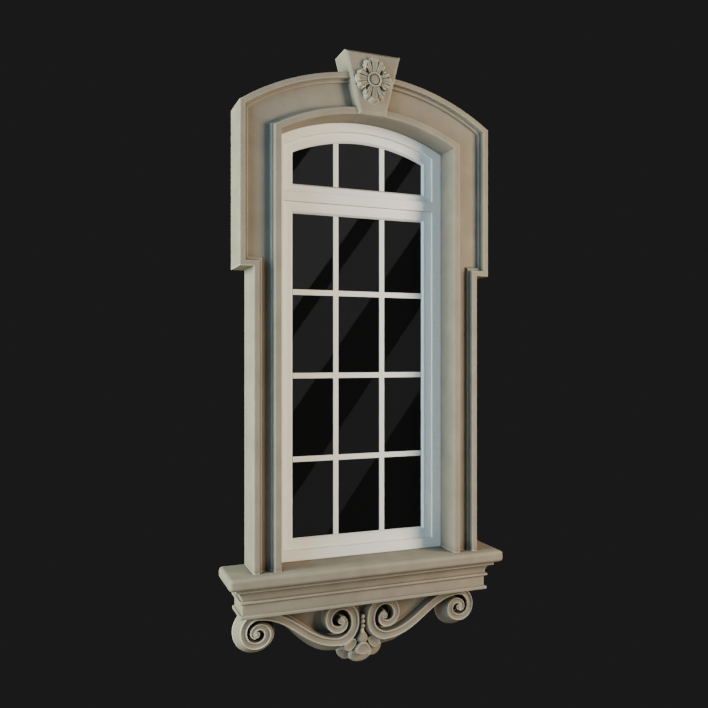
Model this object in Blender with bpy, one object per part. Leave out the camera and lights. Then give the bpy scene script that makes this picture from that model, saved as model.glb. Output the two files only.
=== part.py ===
"""Window surround: an eared stone architrave with a segmental arch, a carved keystone, a moulded
sill on a scroll apron, and the fixed two-light window that stands in it.

Metres, +Z up, the room behind at +Y. The origin is the middle of the sill slab's back face, where
the surround is fixed to the wall, so nothing reaches past y = 0. Heights called "above the sill"
are measured from the slab's top.
"""

import math

import bmesh
import bpy
from mathutils import Vector
from mathutils.geometry import interpolate_bezier

# Clearance between pieces that touch
GAP = 0.0003

# Opening in the architrave
OPENING_WIDTH = 1.000
OPENING_CROWN = 2.398

# Architrave: widths seen from the front
DEPTH = 0.2057
JAMB_WIDTH = 0.1477
EAR_WIDTH = 0.0725
EAR_UNDERSIDE = 1.559
HEAD_WIDTH = 0.222
ARCH_RISE = 0.223
ARCH_SEGMENTS = 20

# Architrave mouldings: the outer rim, the sunk frieze and the band round the opening
ARRIS = 0.004
OUTER_ARRIS = 0.008
RIM_WIDTH = 0.031
RIM_FILLET = 0.013
FILLET_DEPTH = 0.026
FRIEZE_DEPTH = 0.042
BAND_WIDTH = 0.036
BAND_FILLET = 0.006
EDGE_ROUND = 0.009
MOULD_SLOPE = 0.004

# Keystone
KEY_TOP_WIDTH = 0.3225
KEY_BOTTOM_WIDTH = 0.156
KEY_RISE = 0.106
KEY_DROP = 0.003
KEY_PROUD = 0.018
KEY_BACK = 0.070
KEY_CHAMFER = 0.012

# Rosette on the keystone
ROSETTE_WIDTH = 0.213
ROSETTE_HEIGHT = 0.248
ROSETTE_BELOW_TOP = 0.149
ROSETTE_RELIEF = 0.026
ROSETTE_LEAVES = 4
ROSETTE_SPOKES = 80

# Sill slab
SILL_OVERHANG = 0.1363
SILL_NOSING = 0.060
SILL_THICKNESS = 0.062
SILL_ROUND = 0.020

# Bed moulding under the sill: how far each member stands back from the slab's edge
MOULD_TOP_INSET = 0.041
MOULD_TOP_HEIGHT = 0.022
COVE_INSET = 0.079
COVE_HEIGHT = 0.0513
BEAD_INSET = 0.0665
BEAD_HEIGHT = 0.016
MOULD_FRIEZE_INSET = 0.0826
MOULD_FRIEZE_HEIGHT = 0.0574
FOOT_INSET = 0.0703
FOOT_HEIGHT = 0.0196
FOOT_ROUND = 0.006

# Scroll apron
SCROLL_DEPTH = 0.083
PANEL_DEPTH = 0.022
CHANNEL_DEPTH = 0.007
FLARE = 0.050
OUTER_VOLUTE_INSET = 0.183
OUTER_VOLUTE_DROP = 0.1258
OUTER_VOLUTE_RADIUS = 0.088
INNER_VOLUTE_OFFSET = 0.1305
INNER_VOLUTE_DROP = 0.1146
INNER_VOLUTE_RADIUS = 0.118
BAND_HALF = 0.021
TURN_STEPS = 16
APRON_ROOM = 1.0

# Beads, bell and shell on the apron's middle
BEAD_RADIUS = 0.0105
BEAD_PITCH = 0.026
BEAD_COUNT = 3
FIRST_BEAD_DROP = 0.107
BELL_DROP = 0.1725
BELL_HEIGHT = 0.080
BELL_RADIUS = 0.031
SHELL_DROP = 0.243
SHELL_LENGTH = 0.075
SHELL_WIDTH = 0.082
SIDE_LOBE_LENGTH = 0.070
SIDE_LOBE_WIDTH = 0.064
SIDE_LOBE_TURN = 60.0
SIDE_LOBE_OUT = 0.047
SIDE_LOBE_UP = 0.0015
SHELL_FLARE = 0.024
SHELL_SINK = 0.035
STEM_WIDTH = 0.008

# Window
FRAME_WIDTH = 0.056
FRAME_HEAD_WIDTH = 0.049
FRAME_DEPTH = 0.044
FANLIGHT_HEIGHT = 0.355
TRANSOM_HEIGHT = 0.053
SASH_DEPTH = 0.027
SASH_STILE = 0.046
SASH_RAIL = 0.052
FANLIGHT_RAIL = 0.036
SASH_CHAMFER = 0.010
GLASS_THICKNESS = 0.004
GLASS_BACK = 0.006
GLASS_REBATE = 0.008
BAR_WIDTH = 0.030
BAR_DEPTH = 0.005
BAR_SETOUT = 0.028
LIGHT_COLUMNS = 3
LIGHT_ROWS = 4

# Sizes that follow from those above
SILL_TOP = SILL_THICKNESS / 2
HALF_OPENING = OPENING_WIDTH / 2
HALF_JAMBS = HALF_OPENING + JAMB_WIDTH
HALF_EARS = HALF_JAMBS + EAR_WIDTH
CROWN = SILL_TOP + OPENING_CROWN
HEAD = CROWN + HEAD_WIDTH
ARCH_RADIUS = (HALF_EARS**2 + ARCH_RISE**2) / (2 * ARCH_RISE)
ARCH_CENTRE = HEAD - ARCH_RADIUS
OPENING_RADIUS = ARCH_RADIUS - HEAD_WIDTH
HALF_SILL = HALF_JAMBS + SILL_OVERHANG
SILL_DEPTH = DEPTH + SILL_NOSING
MOULD_TOP = -SILL_THICKNESS / 2 - GAP
MOULD_HEIGHT = MOULD_TOP_HEIGHT + COVE_HEIGHT + BEAD_HEIGHT + MOULD_FRIEZE_HEIGHT + FOOT_HEIGHT
APRON_TOP = MOULD_TOP - MOULD_HEIGHT - GAP
HALF_FRAME = HALF_OPENING - GAP
FRAME_RADIUS = OPENING_RADIUS - GAP
FRAME_SIGHT = HALF_FRAME - FRAME_WIDTH
FRAME_SIGHT_RADIUS = FRAME_RADIUS - FRAME_HEAD_WIDTH
TRANSOM_TOP = CROWN - FRAME_HEAD_WIDTH - FANLIGHT_HEIGHT
TRANSOM_BOTTOM = TRANSOM_TOP - TRANSOM_HEIGHT
GLASS_FRONT = GLASS_BACK + GLASS_THICKNESS


def clear_scene():
    for item in list(bpy.data.objects):
        bpy.data.objects.remove(item, do_unlink=True)


def material(name, colour, roughness, metallic=0.0, alpha=1.0):
    """A Principled material from the finish's linear colour."""
    made = bpy.data.materials.new(name)
    made.use_nodes = True
    shader = made.node_tree.nodes["Principled BSDF"]
    shader.inputs["Base Color"].default_value = (*colour, 1.0)
    shader.inputs["Roughness"].default_value = roughness
    shader.inputs["Metallic"].default_value = metallic
    shader.inputs["Alpha"].default_value = alpha
    return made


def add_object(name, mesh, finish):
    made = bpy.data.objects.new(name, mesh)
    mesh.materials.append(finish)
    bpy.context.scene.collection.objects.link(made)
    return made


def mesh_from(name, points, faces):
    """A closed mesh with its normals outward."""
    mesh = bpy.data.meshes.new(name)
    mesh.from_pydata([tuple(point) for point in points], [], faces)
    work = bmesh.new()
    work.from_mesh(mesh)
    bmesh.ops.remove_doubles(work, verts=work.verts, dist=1e-6)
    bmesh.ops.recalc_face_normals(work, faces=work.faces)
    work.to_mesh(mesh)
    work.free()
    return mesh


def cutter(name, mesh):
    made = bpy.data.objects.new(name, mesh)
    bpy.context.scene.collection.objects.link(made)
    made.hide_render = True
    made.display_type = "WIRE"
    return made


def add_boolean(target, tool, operation="DIFFERENCE", self_crossing=False):
    made = target.modifiers.new(tool.name, "BOOLEAN")
    made.operation = operation
    made.solver = "EXACT"
    made.use_self = self_crossing
    made.object = tool
    return made


def box_mesh(name, low, high):
    corners = [(x, y, z) for x in (low[0], high[0]) for y in (low[1], high[1]) for z in (low[2], high[2])]
    sides = [(0, 1, 3, 2), (4, 6, 7, 5), (0, 4, 5, 1), (2, 3, 7, 6), (0, 2, 6, 4), (1, 5, 7, 3)]
    return mesh_from(name, corners, sides)


def prism_mesh(name, outline, front, back):
    """An outline in (x, z), extruded along Y."""
    count = len(outline)
    points = [(x, front, z) for x, z in outline] + [(x, back, z) for x, z in outline]
    faces = [(i, (i + 1) % count, count + (i + 1) % count, count + i) for i in range(count)]
    faces.append(tuple(range(count)))
    faces.append(tuple(range(2 * count - 1, count - 1, -1)))
    return mesh_from(name, points, faces)


def arch_points(half, radius, segments):
    """The arch from its left springing to its right one, with all arches on one centre."""
    swing = math.asin(half / radius)
    turns = [swing * (2 * i / segments - 1) for i in range(segments + 1)]
    return [(radius * math.sin(turn), ARCH_CENTRE + radius * math.cos(turn)) for turn in turns]


def arched_outline(half, radius, bottom, segments=ARCH_SEGMENTS):
    return [(-half, bottom)] + arch_points(half, radius, segments) + [(half, bottom)]


def eared_outline(inset, bottom):
    """The architrave's outer edge, moved in by inset with its corners mitred."""
    jamb = HALF_JAMBS - inset
    ear = HALF_EARS - inset
    underside = SILL_TOP + EAR_UNDERSIDE + inset
    left = [(-jamb, bottom), (-jamb, underside), (-ear, underside)]
    right = [(ear, underside), (jamb, underside), (jamb, bottom)]
    return left + arch_points(ear, ARCH_RADIUS - inset, ARCH_SEGMENTS) + right


def architrave_mesh():
    """Two families of mouldings, the rim's along the eared edge and the band's along the opening,
    joined by the flat frieze in front and the flat back."""
    foot = SILL_TOP + GAP
    rim = [
        (0.0, 0.0),
        (0.0, DEPTH - OUTER_ARRIS),
        (OUTER_ARRIS, DEPTH),
        (RIM_WIDTH - ARRIS, DEPTH),
        (RIM_WIDTH, DEPTH - ARRIS),
        (RIM_WIDTH + MOULD_SLOPE, DEPTH - FILLET_DEPTH),
        (RIM_WIDTH + MOULD_SLOPE + RIM_FILLET, DEPTH - FILLET_DEPTH),
        (RIM_WIDTH + 2 * MOULD_SLOPE + RIM_FILLET, DEPTH - FRIEZE_DEPTH),
    ]
    band = [
        (BAND_WIDTH + 2 * MOULD_SLOPE + BAND_FILLET, DEPTH - FRIEZE_DEPTH),
        (BAND_WIDTH + MOULD_SLOPE + BAND_FILLET, DEPTH - FILLET_DEPTH),
        (BAND_WIDTH + MOULD_SLOPE, DEPTH - FILLET_DEPTH),
        (BAND_WIDTH, DEPTH - ARRIS),
        (BAND_WIDTH - ARRIS, DEPTH),
        (EDGE_ROUND, DEPTH),
        (0.0, DEPTH - EDGE_ROUND),
        (0.0, 0.0),
    ]
    lines = [(eared_outline(inset, foot), front) for inset, front in rim]
    lines += [
        (arched_outline(HALF_OPENING + out, OPENING_RADIUS + out, foot), front) for out, front in band
    ]
    points = []
    starts = []
    for line, front in lines:
        starts.append(len(points))
        points += [(x, -front, z) for x, z in line]
    faces = []
    for k in range(len(lines) - 1):
        count = len(lines[k][0])
        here, there = starts[k], starts[k + 1]
        if count == len(lines[k + 1][0]):
            faces += [(here + i, here + i + 1, there + i + 1, there + i) for i in range(count - 1)]
        else:
            following = len(lines[k + 1][0])
            across = tuple(range(there + following - 1, there - 1, -1))
            faces.append(tuple(range(here, here + count)) + across)
    last = starts[-1]
    band_count = len(lines[-1][0])
    faces.append(tuple(range(len(lines[0][0]))) + tuple(range(last + band_count - 1, last - 1, -1)))
    faces.append(tuple(starts))
    faces.append(tuple(start + len(line) - 1 for start, (line, front) in zip(starts, lines)))
    return mesh_from("architrave", points, faces)


def keystone_half(height):
    """The wedge's half width at a height."""
    bottom = CROWN - KEY_DROP
    share = (height - bottom) / (HEAD + KEY_RISE - bottom)
    return (KEY_BOTTOM_WIDTH + (KEY_TOP_WIDTH - KEY_BOTTOM_WIDTH) * share) / 2


def keystone_outline(margin):
    bottom = CROWN - KEY_DROP - margin
    top = HEAD + KEY_RISE + margin
    lean = math.atan2((KEY_TOP_WIDTH - KEY_BOTTOM_WIDTH) / 2, HEAD + KEY_RISE - CROWN + KEY_DROP)
    low = keystone_half(bottom) + margin / math.cos(lean)
    high = keystone_half(top) + margin / math.cos(lean)
    return [(-low, bottom), (low, bottom), (high, top), (-high, top)]


def keystone_mesh():
    front = DEPTH + KEY_PROUD
    rings = [(0.0, KEY_BACK), (0.0, front - KEY_CHAMFER / 2), (-KEY_CHAMFER, front)]
    points = [(x, -y, z) for margin, y in rings for x, z in keystone_outline(margin)]
    faces = [(3, 2, 1, 0), (8, 9, 10, 11)]
    for ring in (0, 4):
        faces += [(ring + i, ring + (i + 1) % 4, ring + 4 + (i + 1) % 4, ring + 4 + i) for i in range(4)]
    return mesh_from("keystone", points, faces)


def leaf_edge(turn):
    """Share of the rosette's half size that the leaves reach: one swell a leaf, lobes along it."""
    leaf = math.cos(ROSETTE_LEAVES * turn)
    lobes = math.cos(5 * ROSETTE_LEAVES * turn)
    return 0.80 + 0.17 * leaf - 0.03 * leaf * leaf + 0.035 * lobes


def leaf_height(turn, share):
    """Relief of the leaves at a share of the way from the boss to their edge."""
    leaf = 0.5 + 0.5 * math.cos(ROSETTE_LEAVES * turn)
    ribs = math.cos(5 * ROSETTE_LEAVES * turn)
    body = math.sin(math.pi * (0.18 + 0.74 * share)) ** 0.8
    return body * (0.40 + 0.45 * leaf) + 0.10 * ribs * share


def rosette_mesh():
    """A boss with a collar, and four leaves round it, as rings of points from the middle out."""
    centre = HEAD + KEY_RISE - ROSETTE_BELOW_TOP
    face = DEPTH + KEY_PROUD
    boss = [(0.13, 0.92), (0.22, 0.70), (0.29, 0.36), (0.38, 0.80), (0.47, 0.55)]
    reach = [0.28, 0.56, 0.82, 1.0]
    points = [(0.0, -face - ROSETTE_RELIEF, centre)]
    for size, rise in boss:
        for i in range(ROSETTE_SPOKES):
            turn = 2 * math.pi * i / ROSETTE_SPOKES
            out = size * ROSETTE_WIDTH / 2
            y = -face - rise * ROSETTE_RELIEF
            points.append((out * math.sin(turn), y, centre + out * math.cos(turn)))
    for share in reach:
        for i in range(ROSETTE_SPOKES):
            turn = 2 * math.pi * i / ROSETTE_SPOKES
            edge = leaf_edge(turn)
            inner = boss[-1][0]
            out = inner + (edge - inner) * share
            rise = leaf_height(turn, share) if share < 1.0 else 0.12
            x = out * ROSETTE_WIDTH / 2 * math.sin(turn)
            z = (inner * ROSETTE_WIDTH + (out - inner) * ROSETTE_HEIGHT) / 2 * math.cos(turn)
            points.append((x, -face - rise * ROSETTE_RELIEF, centre + z))
    for i in range(ROSETTE_SPOKES):
        x, y, z = points[len(points) - ROSETTE_SPOKES]
        points.append((x, -face + KEY_CHAMFER / 2, z))
    faces = [(0, 1 + i, 1 + (i + 1) % ROSETTE_SPOKES) for i in range(ROSETTE_SPOKES)]
    rings = len(boss) + len(reach) + 1
    for ring in range(rings - 1):
        here = 1 + ring * ROSETTE_SPOKES
        for i in range(ROSETTE_SPOKES):
            step = (i + 1) % ROSETTE_SPOKES
            faces.append((here + i, here + ROSETTE_SPOKES + i, here + ROSETTE_SPOKES + step, here + step))
    last = 1 + (rings - 1) * ROSETTE_SPOKES
    faces.append(tuple(range(last, last + ROSETTE_SPOKES)))
    return mesh_from("rosette", points, faces)


def moulding_profile():
    """(inset from the slab's edge, height) down the bed moulding, from the sill to its foot."""
    z = MOULD_TOP
    profile = [(MOULD_TOP_INSET, z)]
    z -= MOULD_TOP_HEIGHT
    profile.append((MOULD_TOP_INSET, z))
    reach = COVE_INSET - MOULD_TOP_INSET
    for i in range(1, 6):
        turn = math.pi / 2 * i / 5
        profile.append((MOULD_TOP_INSET + reach * math.sin(turn), z - COVE_HEIGHT * (1 - math.cos(turn))))
    z -= COVE_HEIGHT
    profile.append((BEAD_INSET, z))
    profile.append((BEAD_INSET, z - BEAD_HEIGHT))
    z -= BEAD_HEIGHT
    profile.append((MOULD_FRIEZE_INSET, z))
    z -= MOULD_FRIEZE_HEIGHT
    profile.append((MOULD_FRIEZE_INSET, z))
    profile.append((FOOT_INSET, z))
    profile.append((FOOT_INSET, z - FOOT_HEIGHT + FOOT_ROUND))
    profile.append((FOOT_INSET + FOOT_ROUND, z - FOOT_HEIGHT))
    return profile


def moulding_mesh():
    """The profile carried round the left return, the front and the right return."""
    points = []
    for inset, z in moulding_profile():
        x = HALF_SILL - inset
        y = -(SILL_DEPTH - inset)
        points += [(-x, 0.0, z), (-x, y, z), (x, y, z), (x, 0.0, z)]
    rows = len(moulding_profile())
    faces = []
    for row in range(rows - 1):
        here = 4 * row
        faces += [(here + i, here + i + 1, here + i + 5, here + i + 4) for i in range(3)]
    faces.append((0, 3, 2, 1))
    last = 4 * (rows - 1)
    faces.append((last, last + 1, last + 2, last + 3))
    faces.append(tuple(range(0, 4 * rows, 4)) + tuple(range(last + 3, 2, -4)))
    return mesh_from("sill_moulding", points, faces)


def smooth_value(stations, at):
    """A smooth curve through (place, value) stations, by Catmull and Rom's rule."""
    last = len(stations) - 1
    k = max(0, min(last - 1, sum(1 for place, value in stations[1:] if place <= at)))
    p0, p1 = stations[max(k - 1, 0)], stations[k]
    p2, p3 = stations[k + 1], stations[min(k + 2, last)]
    t = (at - p1[0]) / (p2[0] - p1[0])
    slope1 = (p2[1] - p0[1]) / (p2[0] - p0[0]) * (p2[0] - p1[0])
    slope2 = (p3[1] - p1[1]) / (p3[0] - p1[0]) * (p2[0] - p1[0])
    a = 2 * p1[1] - 2 * p2[1] + slope1 + slope2
    b = -3 * p1[1] + 3 * p2[1] - 2 * slope1 - slope2
    return a * t**3 + b * t**2 + slope1 * t + p1[1]


# The outer volute's ribbon, from its coil out to the top: (turns clockwise from the top, share of the
# volute's radius that its middle stands out, share of the band's half width)
OUTER_COIL = ((1.45, 0.15, 0.45), (1.25, 0.21, 0.69), (1.0, 0.41, 0.68), (0.75, 0.68, 0.87))
OUTER_COIL += ((0.5, 0.67, 0.84), (0.25, 0.79, 0.86), (0.0, 1.07, 0.98))
# How much of the flare the outer volute has: (turns clockwise from the top, share)
OUTER_FLARE = ((0.0, 0.2), (0.25, 0.5), (0.5, 0.86), (0.75, 0.8), (0.95, 0.1))
# The inner volute's, from the bottom round to its coil: (turns from the bottom towards the middle, ...)
INNER_COIL = ((0.0, 0.95, 1.12), (0.25, 0.70, 1.08), (0.5, 0.72, 1.1), (0.75, 0.59, 0.84))
INNER_COIL += ((1.0, 0.375, 0.88), (1.25, 0.20, 0.55), (1.5, 0.15, 0.45))


def outer_volute_centre():
    return Vector((HALF_SILL - OUTER_VOLUTE_INSET, APRON_TOP - OUTER_VOLUTE_DROP))


def inner_volute_centre():
    return Vector((INNER_VOLUTE_OFFSET, APRON_TOP - INNER_VOLUTE_DROP))


def coil_points(stations, centre, radius, way, upward):
    """(place, half width) along a volute's ribbon, TURN_STEPS to a turn."""
    first, last = stations[0][0], stations[-1][0]
    steps = round(abs(last - first) * TURN_STEPS)
    forward = last > first
    rule = stations if forward else stations[::-1]
    found = []
    for i in range(steps + 1):
        at = first + (last - first) * i / steps
        out = radius * smooth_value([(s[0], s[1]) for s in rule], at)
        half = BAND_HALF * smooth_value([(s[0], s[2]) for s in rule], at)
        turn = 2 * math.pi * at
        found.append((centre + Vector((way * math.sin(turn), upward * math.cos(turn))) * out, half))
    return found


def scroll_path():
    """The right scroll's ribbon from the outer volute's coil to the inner one's: places and half widths."""
    outer = coil_points(OUTER_COIL, outer_volute_centre(), OUTER_VOLUTE_RADIUS, 1, 1)
    inner = coil_points(INNER_COIL, inner_volute_centre(), INNER_VOLUTE_RADIUS, -1, -1)
    start, end = outer[-1][0], inner[0][0]
    reach = 0.43 * (start.x - end.x)
    handles = [Vector((start.x - reach, start.y)), Vector((end.x + reach, end.y))]
    curve = interpolate_bezier(start.to_3d(), handles[0].to_3d(), handles[1].to_3d(), end.to_3d(), 15)
    sweep = [(Vector((point.x, point.y)), BAND_HALF) for point in curve[1:-1]]
    return outer, sweep, inner


def ribbon_mesh(name, stations):
    """A ribbon with two raised edges and a sunk channel. Its sides flare to the back by each station's
    two flares, to the left and to the right of the way it runs."""
    points = []
    for k, (place, half, left, right) in enumerate(stations):
        ahead = stations[min(k + 1, len(stations) - 1)][0]
        behind = stations[max(k - 1, 0)][0]
        along = (ahead - behind).normalized()
        across = Vector((along.y, -along.x))
        section = [(-half - left, 0.0), (-half, SCROLL_DEPTH), (-0.62 * half, SCROLL_DEPTH)]
        floor = SCROLL_DEPTH - CHANNEL_DEPTH
        section += [(-0.36 * half, floor), (0.36 * half, floor)]
        section += [(0.62 * half, SCROLL_DEPTH), (half, SCROLL_DEPTH), (half + right, 0.0)]
        for out, front in section:
            at = place + across * out
            points.append((at.x, -front, at.y))
    size = 8
    faces = []
    for k in range(len(stations) - 1):
        for i in range(size):
            step = (i + 1) % size
            faces.append((size * k + i, size * k + step, size * (k + 1) + step, size * (k + 1) + i))
    faces.append(tuple(range(size)))
    faces.append(tuple(range(size * len(stations) - 1, size * (len(stations) - 1) - 1, -1)))
    return mesh_from(name, points, faces)


def scroll_meshes():
    """The right scroll as one ribbon: slender flares inside the coils, full flares on the outside."""
    outer, sweep, inner = scroll_path()
    slim = 0.10 * FLARE
    stations = []
    for k, (place, half) in enumerate(outer):
        at = OUTER_COIL[0][0] * (1 - k / (len(outer) - 1))
        swell = smooth_value(OUTER_FLARE, at) if at < OUTER_FLARE[-1][0] else 0.0
        stations.append((place, half, slim, slim + (FLARE - slim) * swell))
    for k, (place, half) in enumerate(sweep):
        share = min(1.0, max(0.0, (k - 2) / 4))
        stations.append((place, half, slim + (FLARE - slim) * share, slim))
    for k, (place, half) in enumerate(inner):
        at = INNER_COIL[-1][0] * k / (len(inner) - 1)
        share = max(0.0, min(1.0, (0.45 - at) / 0.2))
        stations.append((place, half, slim + (FLARE - slim) * share, slim))
    return ribbon_mesh("scroll", stations)


def disc_mesh(name, centre, radius, front, rim=0.0, sides=20):
    """A short round block on the back plane, its face smaller than its base by rim."""
    points = []
    for out, y in ((radius, 0.0), (radius - rim, -front)):
        for i in range(sides):
            turn = 2 * math.pi * i / sides
            points.append((centre.x + out * math.sin(turn), y, centre.y + out * math.cos(turn)))
    faces = [(i, (i + 1) % sides, sides + (i + 1) % sides, sides + i) for i in range(sides)]
    faces.append(tuple(range(sides)))
    faces.append(tuple(range(2 * sides - 1, sides - 1, -1)))
    return mesh_from(name, points, faces)


def panel_mesh():
    """The sunk ground between the two scrolls and the bed moulding."""
    outer, sweep, inner = scroll_path()
    edge = [place for place, half in outer[-2:] + sweep] + [inner[0][0], inner[2][0]]
    right = [(place.x, place.y) for place in edge]
    left = [(-x, z) for x, z in reversed(right)]
    top = APRON_TOP + FLARE
    outline = [(right[0][0], top)] + right + left + [(-right[0][0], top)]
    return prism_mesh("panel", outline, -PANEL_DEPTH, 0.0)


def round_mesh(name, x, drop, radius, depth, front, rings, sides=10):
    """Rings of a body of revolution about a vertical line, flattened to a depth in front of the back."""
    points = []
    for share, down in rings:
        for i in range(sides):
            turn = 2 * math.pi * i / sides
            y = -front - depth * share * math.cos(turn)
            points.append((x + radius * share * math.sin(turn), y, APRON_TOP - drop - down))
    faces = []
    for k in range(len(rings) - 1):
        for i in range(sides):
            step = (i + 1) % sides
            faces.append((sides * k + i, sides * k + step, sides * (k + 1) + step, sides * (k + 1) + i))
    faces.append(tuple(range(sides)))
    faces.append(tuple(range(sides * len(rings) - 1, sides * (len(rings) - 1) - 1, -1)))
    return mesh_from(name, points, faces)


def bead_meshes():
    made = []
    for k in range(BEAD_COUNT):
        rings = []
        for i in range(7):
            turn = math.pi * (i / 6 * 0.86 + 0.07)
            rings.append((math.sin(turn), BEAD_RADIUS * (1 - math.cos(turn) / math.cos(math.pi * 0.07))))
        drop = FIRST_BEAD_DROP + k * BEAD_PITCH - BEAD_RADIUS
        centre = SCROLL_DEPTH - BEAD_RADIUS
        made.append(round_mesh(f"bead_{k}", 0.0, drop, BEAD_RADIUS, BEAD_RADIUS, centre, rings, 8))
    return made


def lobe_mesh(name, root, turn, length, width, front):
    """One lobe of the shell: a rounded tongue with a raised rim, a sunk face and a flared back."""
    sides = 18
    rings = ((1.0, 0.0, 1.0), (1.0, front - 0.010, 0.0), (0.88, front, 0.0), (0.70, front - 0.004, 0.0))
    points = []
    for size, y, flared in rings:
        for i in range(sides):
            angle = 2 * math.pi * i / sides
            across = math.sin(angle) * width / 2 * (1.0 - 0.18 * math.cos(angle))
            down = (1 - math.cos(angle)) * length / 2
            across *= size
            down = length / 2 + (down - length / 2) * size
            if flared:
                across += SHELL_FLARE * math.sin(angle)
                down -= SHELL_FLARE * math.cos(angle)
            x = root.x + across * math.cos(turn) + down * math.sin(turn)
            z = root.y + across * math.sin(turn) - down * math.cos(turn) - SHELL_SINK * flared
            points.append((x, -y, z))
    middle = Vector((root.x + length / 2 * math.sin(turn), root.y - length / 2 * math.cos(turn)))
    points.append((middle.x, -(front - 0.012), middle.y))
    faces = []
    for ring in range(len(rings) - 1):
        here, there = sides * ring, sides * (ring + 1)
        for i in range(sides):
            step = (i + 1) % sides
            faces.append((here + i, here + step, there + step, there + i))
    last = sides * (len(rings) - 1)
    faces += [(last + i, last + (i + 1) % sides, len(points) - 1) for i in range(sides)]
    faces.append(tuple(range(sides - 1, -1, -1)))
    return mesh_from(name, points, faces)


def shell_meshes():
    root = Vector((0.0, APRON_TOP - SHELL_DROP))
    made = [lobe_mesh("shell_middle", root, 0.0, SHELL_LENGTH, SHELL_WIDTH, SCROLL_DEPTH)]
    for way in (-1, 1):
        turn = way * math.radians(SIDE_LOBE_TURN)
        side = root + Vector((way * SIDE_LOBE_OUT, SIDE_LOBE_UP))
        front = SCROLL_DEPTH - 0.012
        made.append(lobe_mesh("shell_side", side, turn, SIDE_LOBE_LENGTH, SIDE_LOBE_WIDTH, front))
    return made


def bell_mesh():
    rings = ((0.30, 0.0), (0.46, 0.15), (0.62, 0.32), (0.92, 0.58), (1.0, 0.75), (0.88, 0.92), (0.6, 1.0))
    rings = [(share, down * BELL_HEIGHT) for share, down in rings]
    depth, front = 0.8 * BELL_RADIUS, 0.62 * SCROLL_DEPTH
    return round_mesh("bell", 0.0, BELL_DROP, BELL_RADIUS, depth, front, rings, 12)


def stem_mesh():
    """The rib that carries the beads and the bell, down from the moulding into the shell."""
    half = STEM_WIDTH / 2
    low = (-half, -(SCROLL_DEPTH - 1.5 * BEAD_RADIUS), APRON_TOP - SHELL_DROP - SHELL_LENGTH / 2)
    return box_mesh("stem", low, (half, 0.0, APRON_TOP + FLARE))


def mirrored(mesh):
    other = mesh.copy()
    work = bmesh.new()
    work.from_mesh(other)
    bmesh.ops.scale(work, vec=(-1, 1, 1), verts=work.verts)
    bmesh.ops.reverse_faces(work, faces=work.faces)
    work.to_mesh(other)
    work.free()
    return other


def joined(name, meshes):
    work = bmesh.new()
    for mesh in meshes:
        work.from_mesh(mesh)
    made = bpy.data.meshes.new(name)
    work.to_mesh(made)
    work.free()
    return made


def ring_mesh(name, loops):
    """A frame from closed loops of equal length, (outline, distance in front of the back plane), taken
    round its section."""
    count = len(loops[0][0])
    points = [(x, -front, z) for outline, front in loops for x, z in outline]
    faces = []
    for k in range(len(loops)):
        here = k * count
        there = (k + 1) % len(loops) * count
        for i in range(count):
            step = (i + 1) % count
            faces.append((here + i, here + step, there + step, there + i))
    return mesh_from(name, points, faces)


def sash_section(half, bottom, outline, rail):
    """The loops round a sash: outline(half, bottom, inset) gives its edge at an inset."""
    loops = []
    seat = GLASS_FRONT + GAP
    steps = (
        (0.0, 0.0, 0.0),
        (0.0, 0.0, SASH_DEPTH),
        (SASH_STILE, rail, SASH_DEPTH),
        (SASH_STILE + SASH_CHAMFER, rail + SASH_CHAMFER, seat),
        (SASH_STILE + SASH_CHAMFER - GLASS_REBATE, rail + SASH_CHAMFER - GLASS_REBATE, seat),
        (SASH_STILE + SASH_CHAMFER - GLASS_REBATE, rail + SASH_CHAMFER - GLASS_REBATE, 0.0),
    )
    for stile, rise, front in steps:
        loops.append((outline(half - stile, bottom + rise, stile, rise), front))
    return loops


def lower_outline(half, bottom, stile, rise):
    top = TRANSOM_BOTTOM - GAP - rise
    return [(-half, bottom), (half, bottom), (half, top), (-half, top)]


def upper_outline(half, bottom, stile, rise):
    arch = arch_points(half, FRAME_SIGHT_RADIUS - GAP - stile, ARCH_SEGMENTS - 4)
    return [(-half, bottom)] + arch + [(half, bottom)]


def window_frame(finish):
    """The frame with its transom: an arched slab with an opening for each light."""
    foot = SILL_TOP + GAP
    slab = prism_mesh("window_frame", arched_outline(HALF_FRAME, FRAME_RADIUS, foot), -FRAME_DEPTH, 0.0)
    made = add_object("window_frame", slab, finish)
    through = FRAME_DEPTH + 0.01
    low = (-FRAME_SIGHT, -through, foot + FRAME_WIDTH)
    lower = box_mesh("lower_light", low, (FRAME_SIGHT, 0.01, TRANSOM_BOTTOM))
    upper = arched_outline(FRAME_SIGHT, FRAME_SIGHT_RADIUS, TRANSOM_TOP)
    add_boolean(made, cutter("cut_lower_light", lower))
    add_boolean(made, cutter("cut_upper_light", prism_mesh("upper_light", upper, -through, 0.01)))
    return made


def bar_centres(low, high, count):
    """Middles of the bars that part a light into equal panes."""
    low, high = low - BAR_SETOUT, high + BAR_SETOUT
    return [low + (high - low) * i / count for i in range(1, count)]


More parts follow.
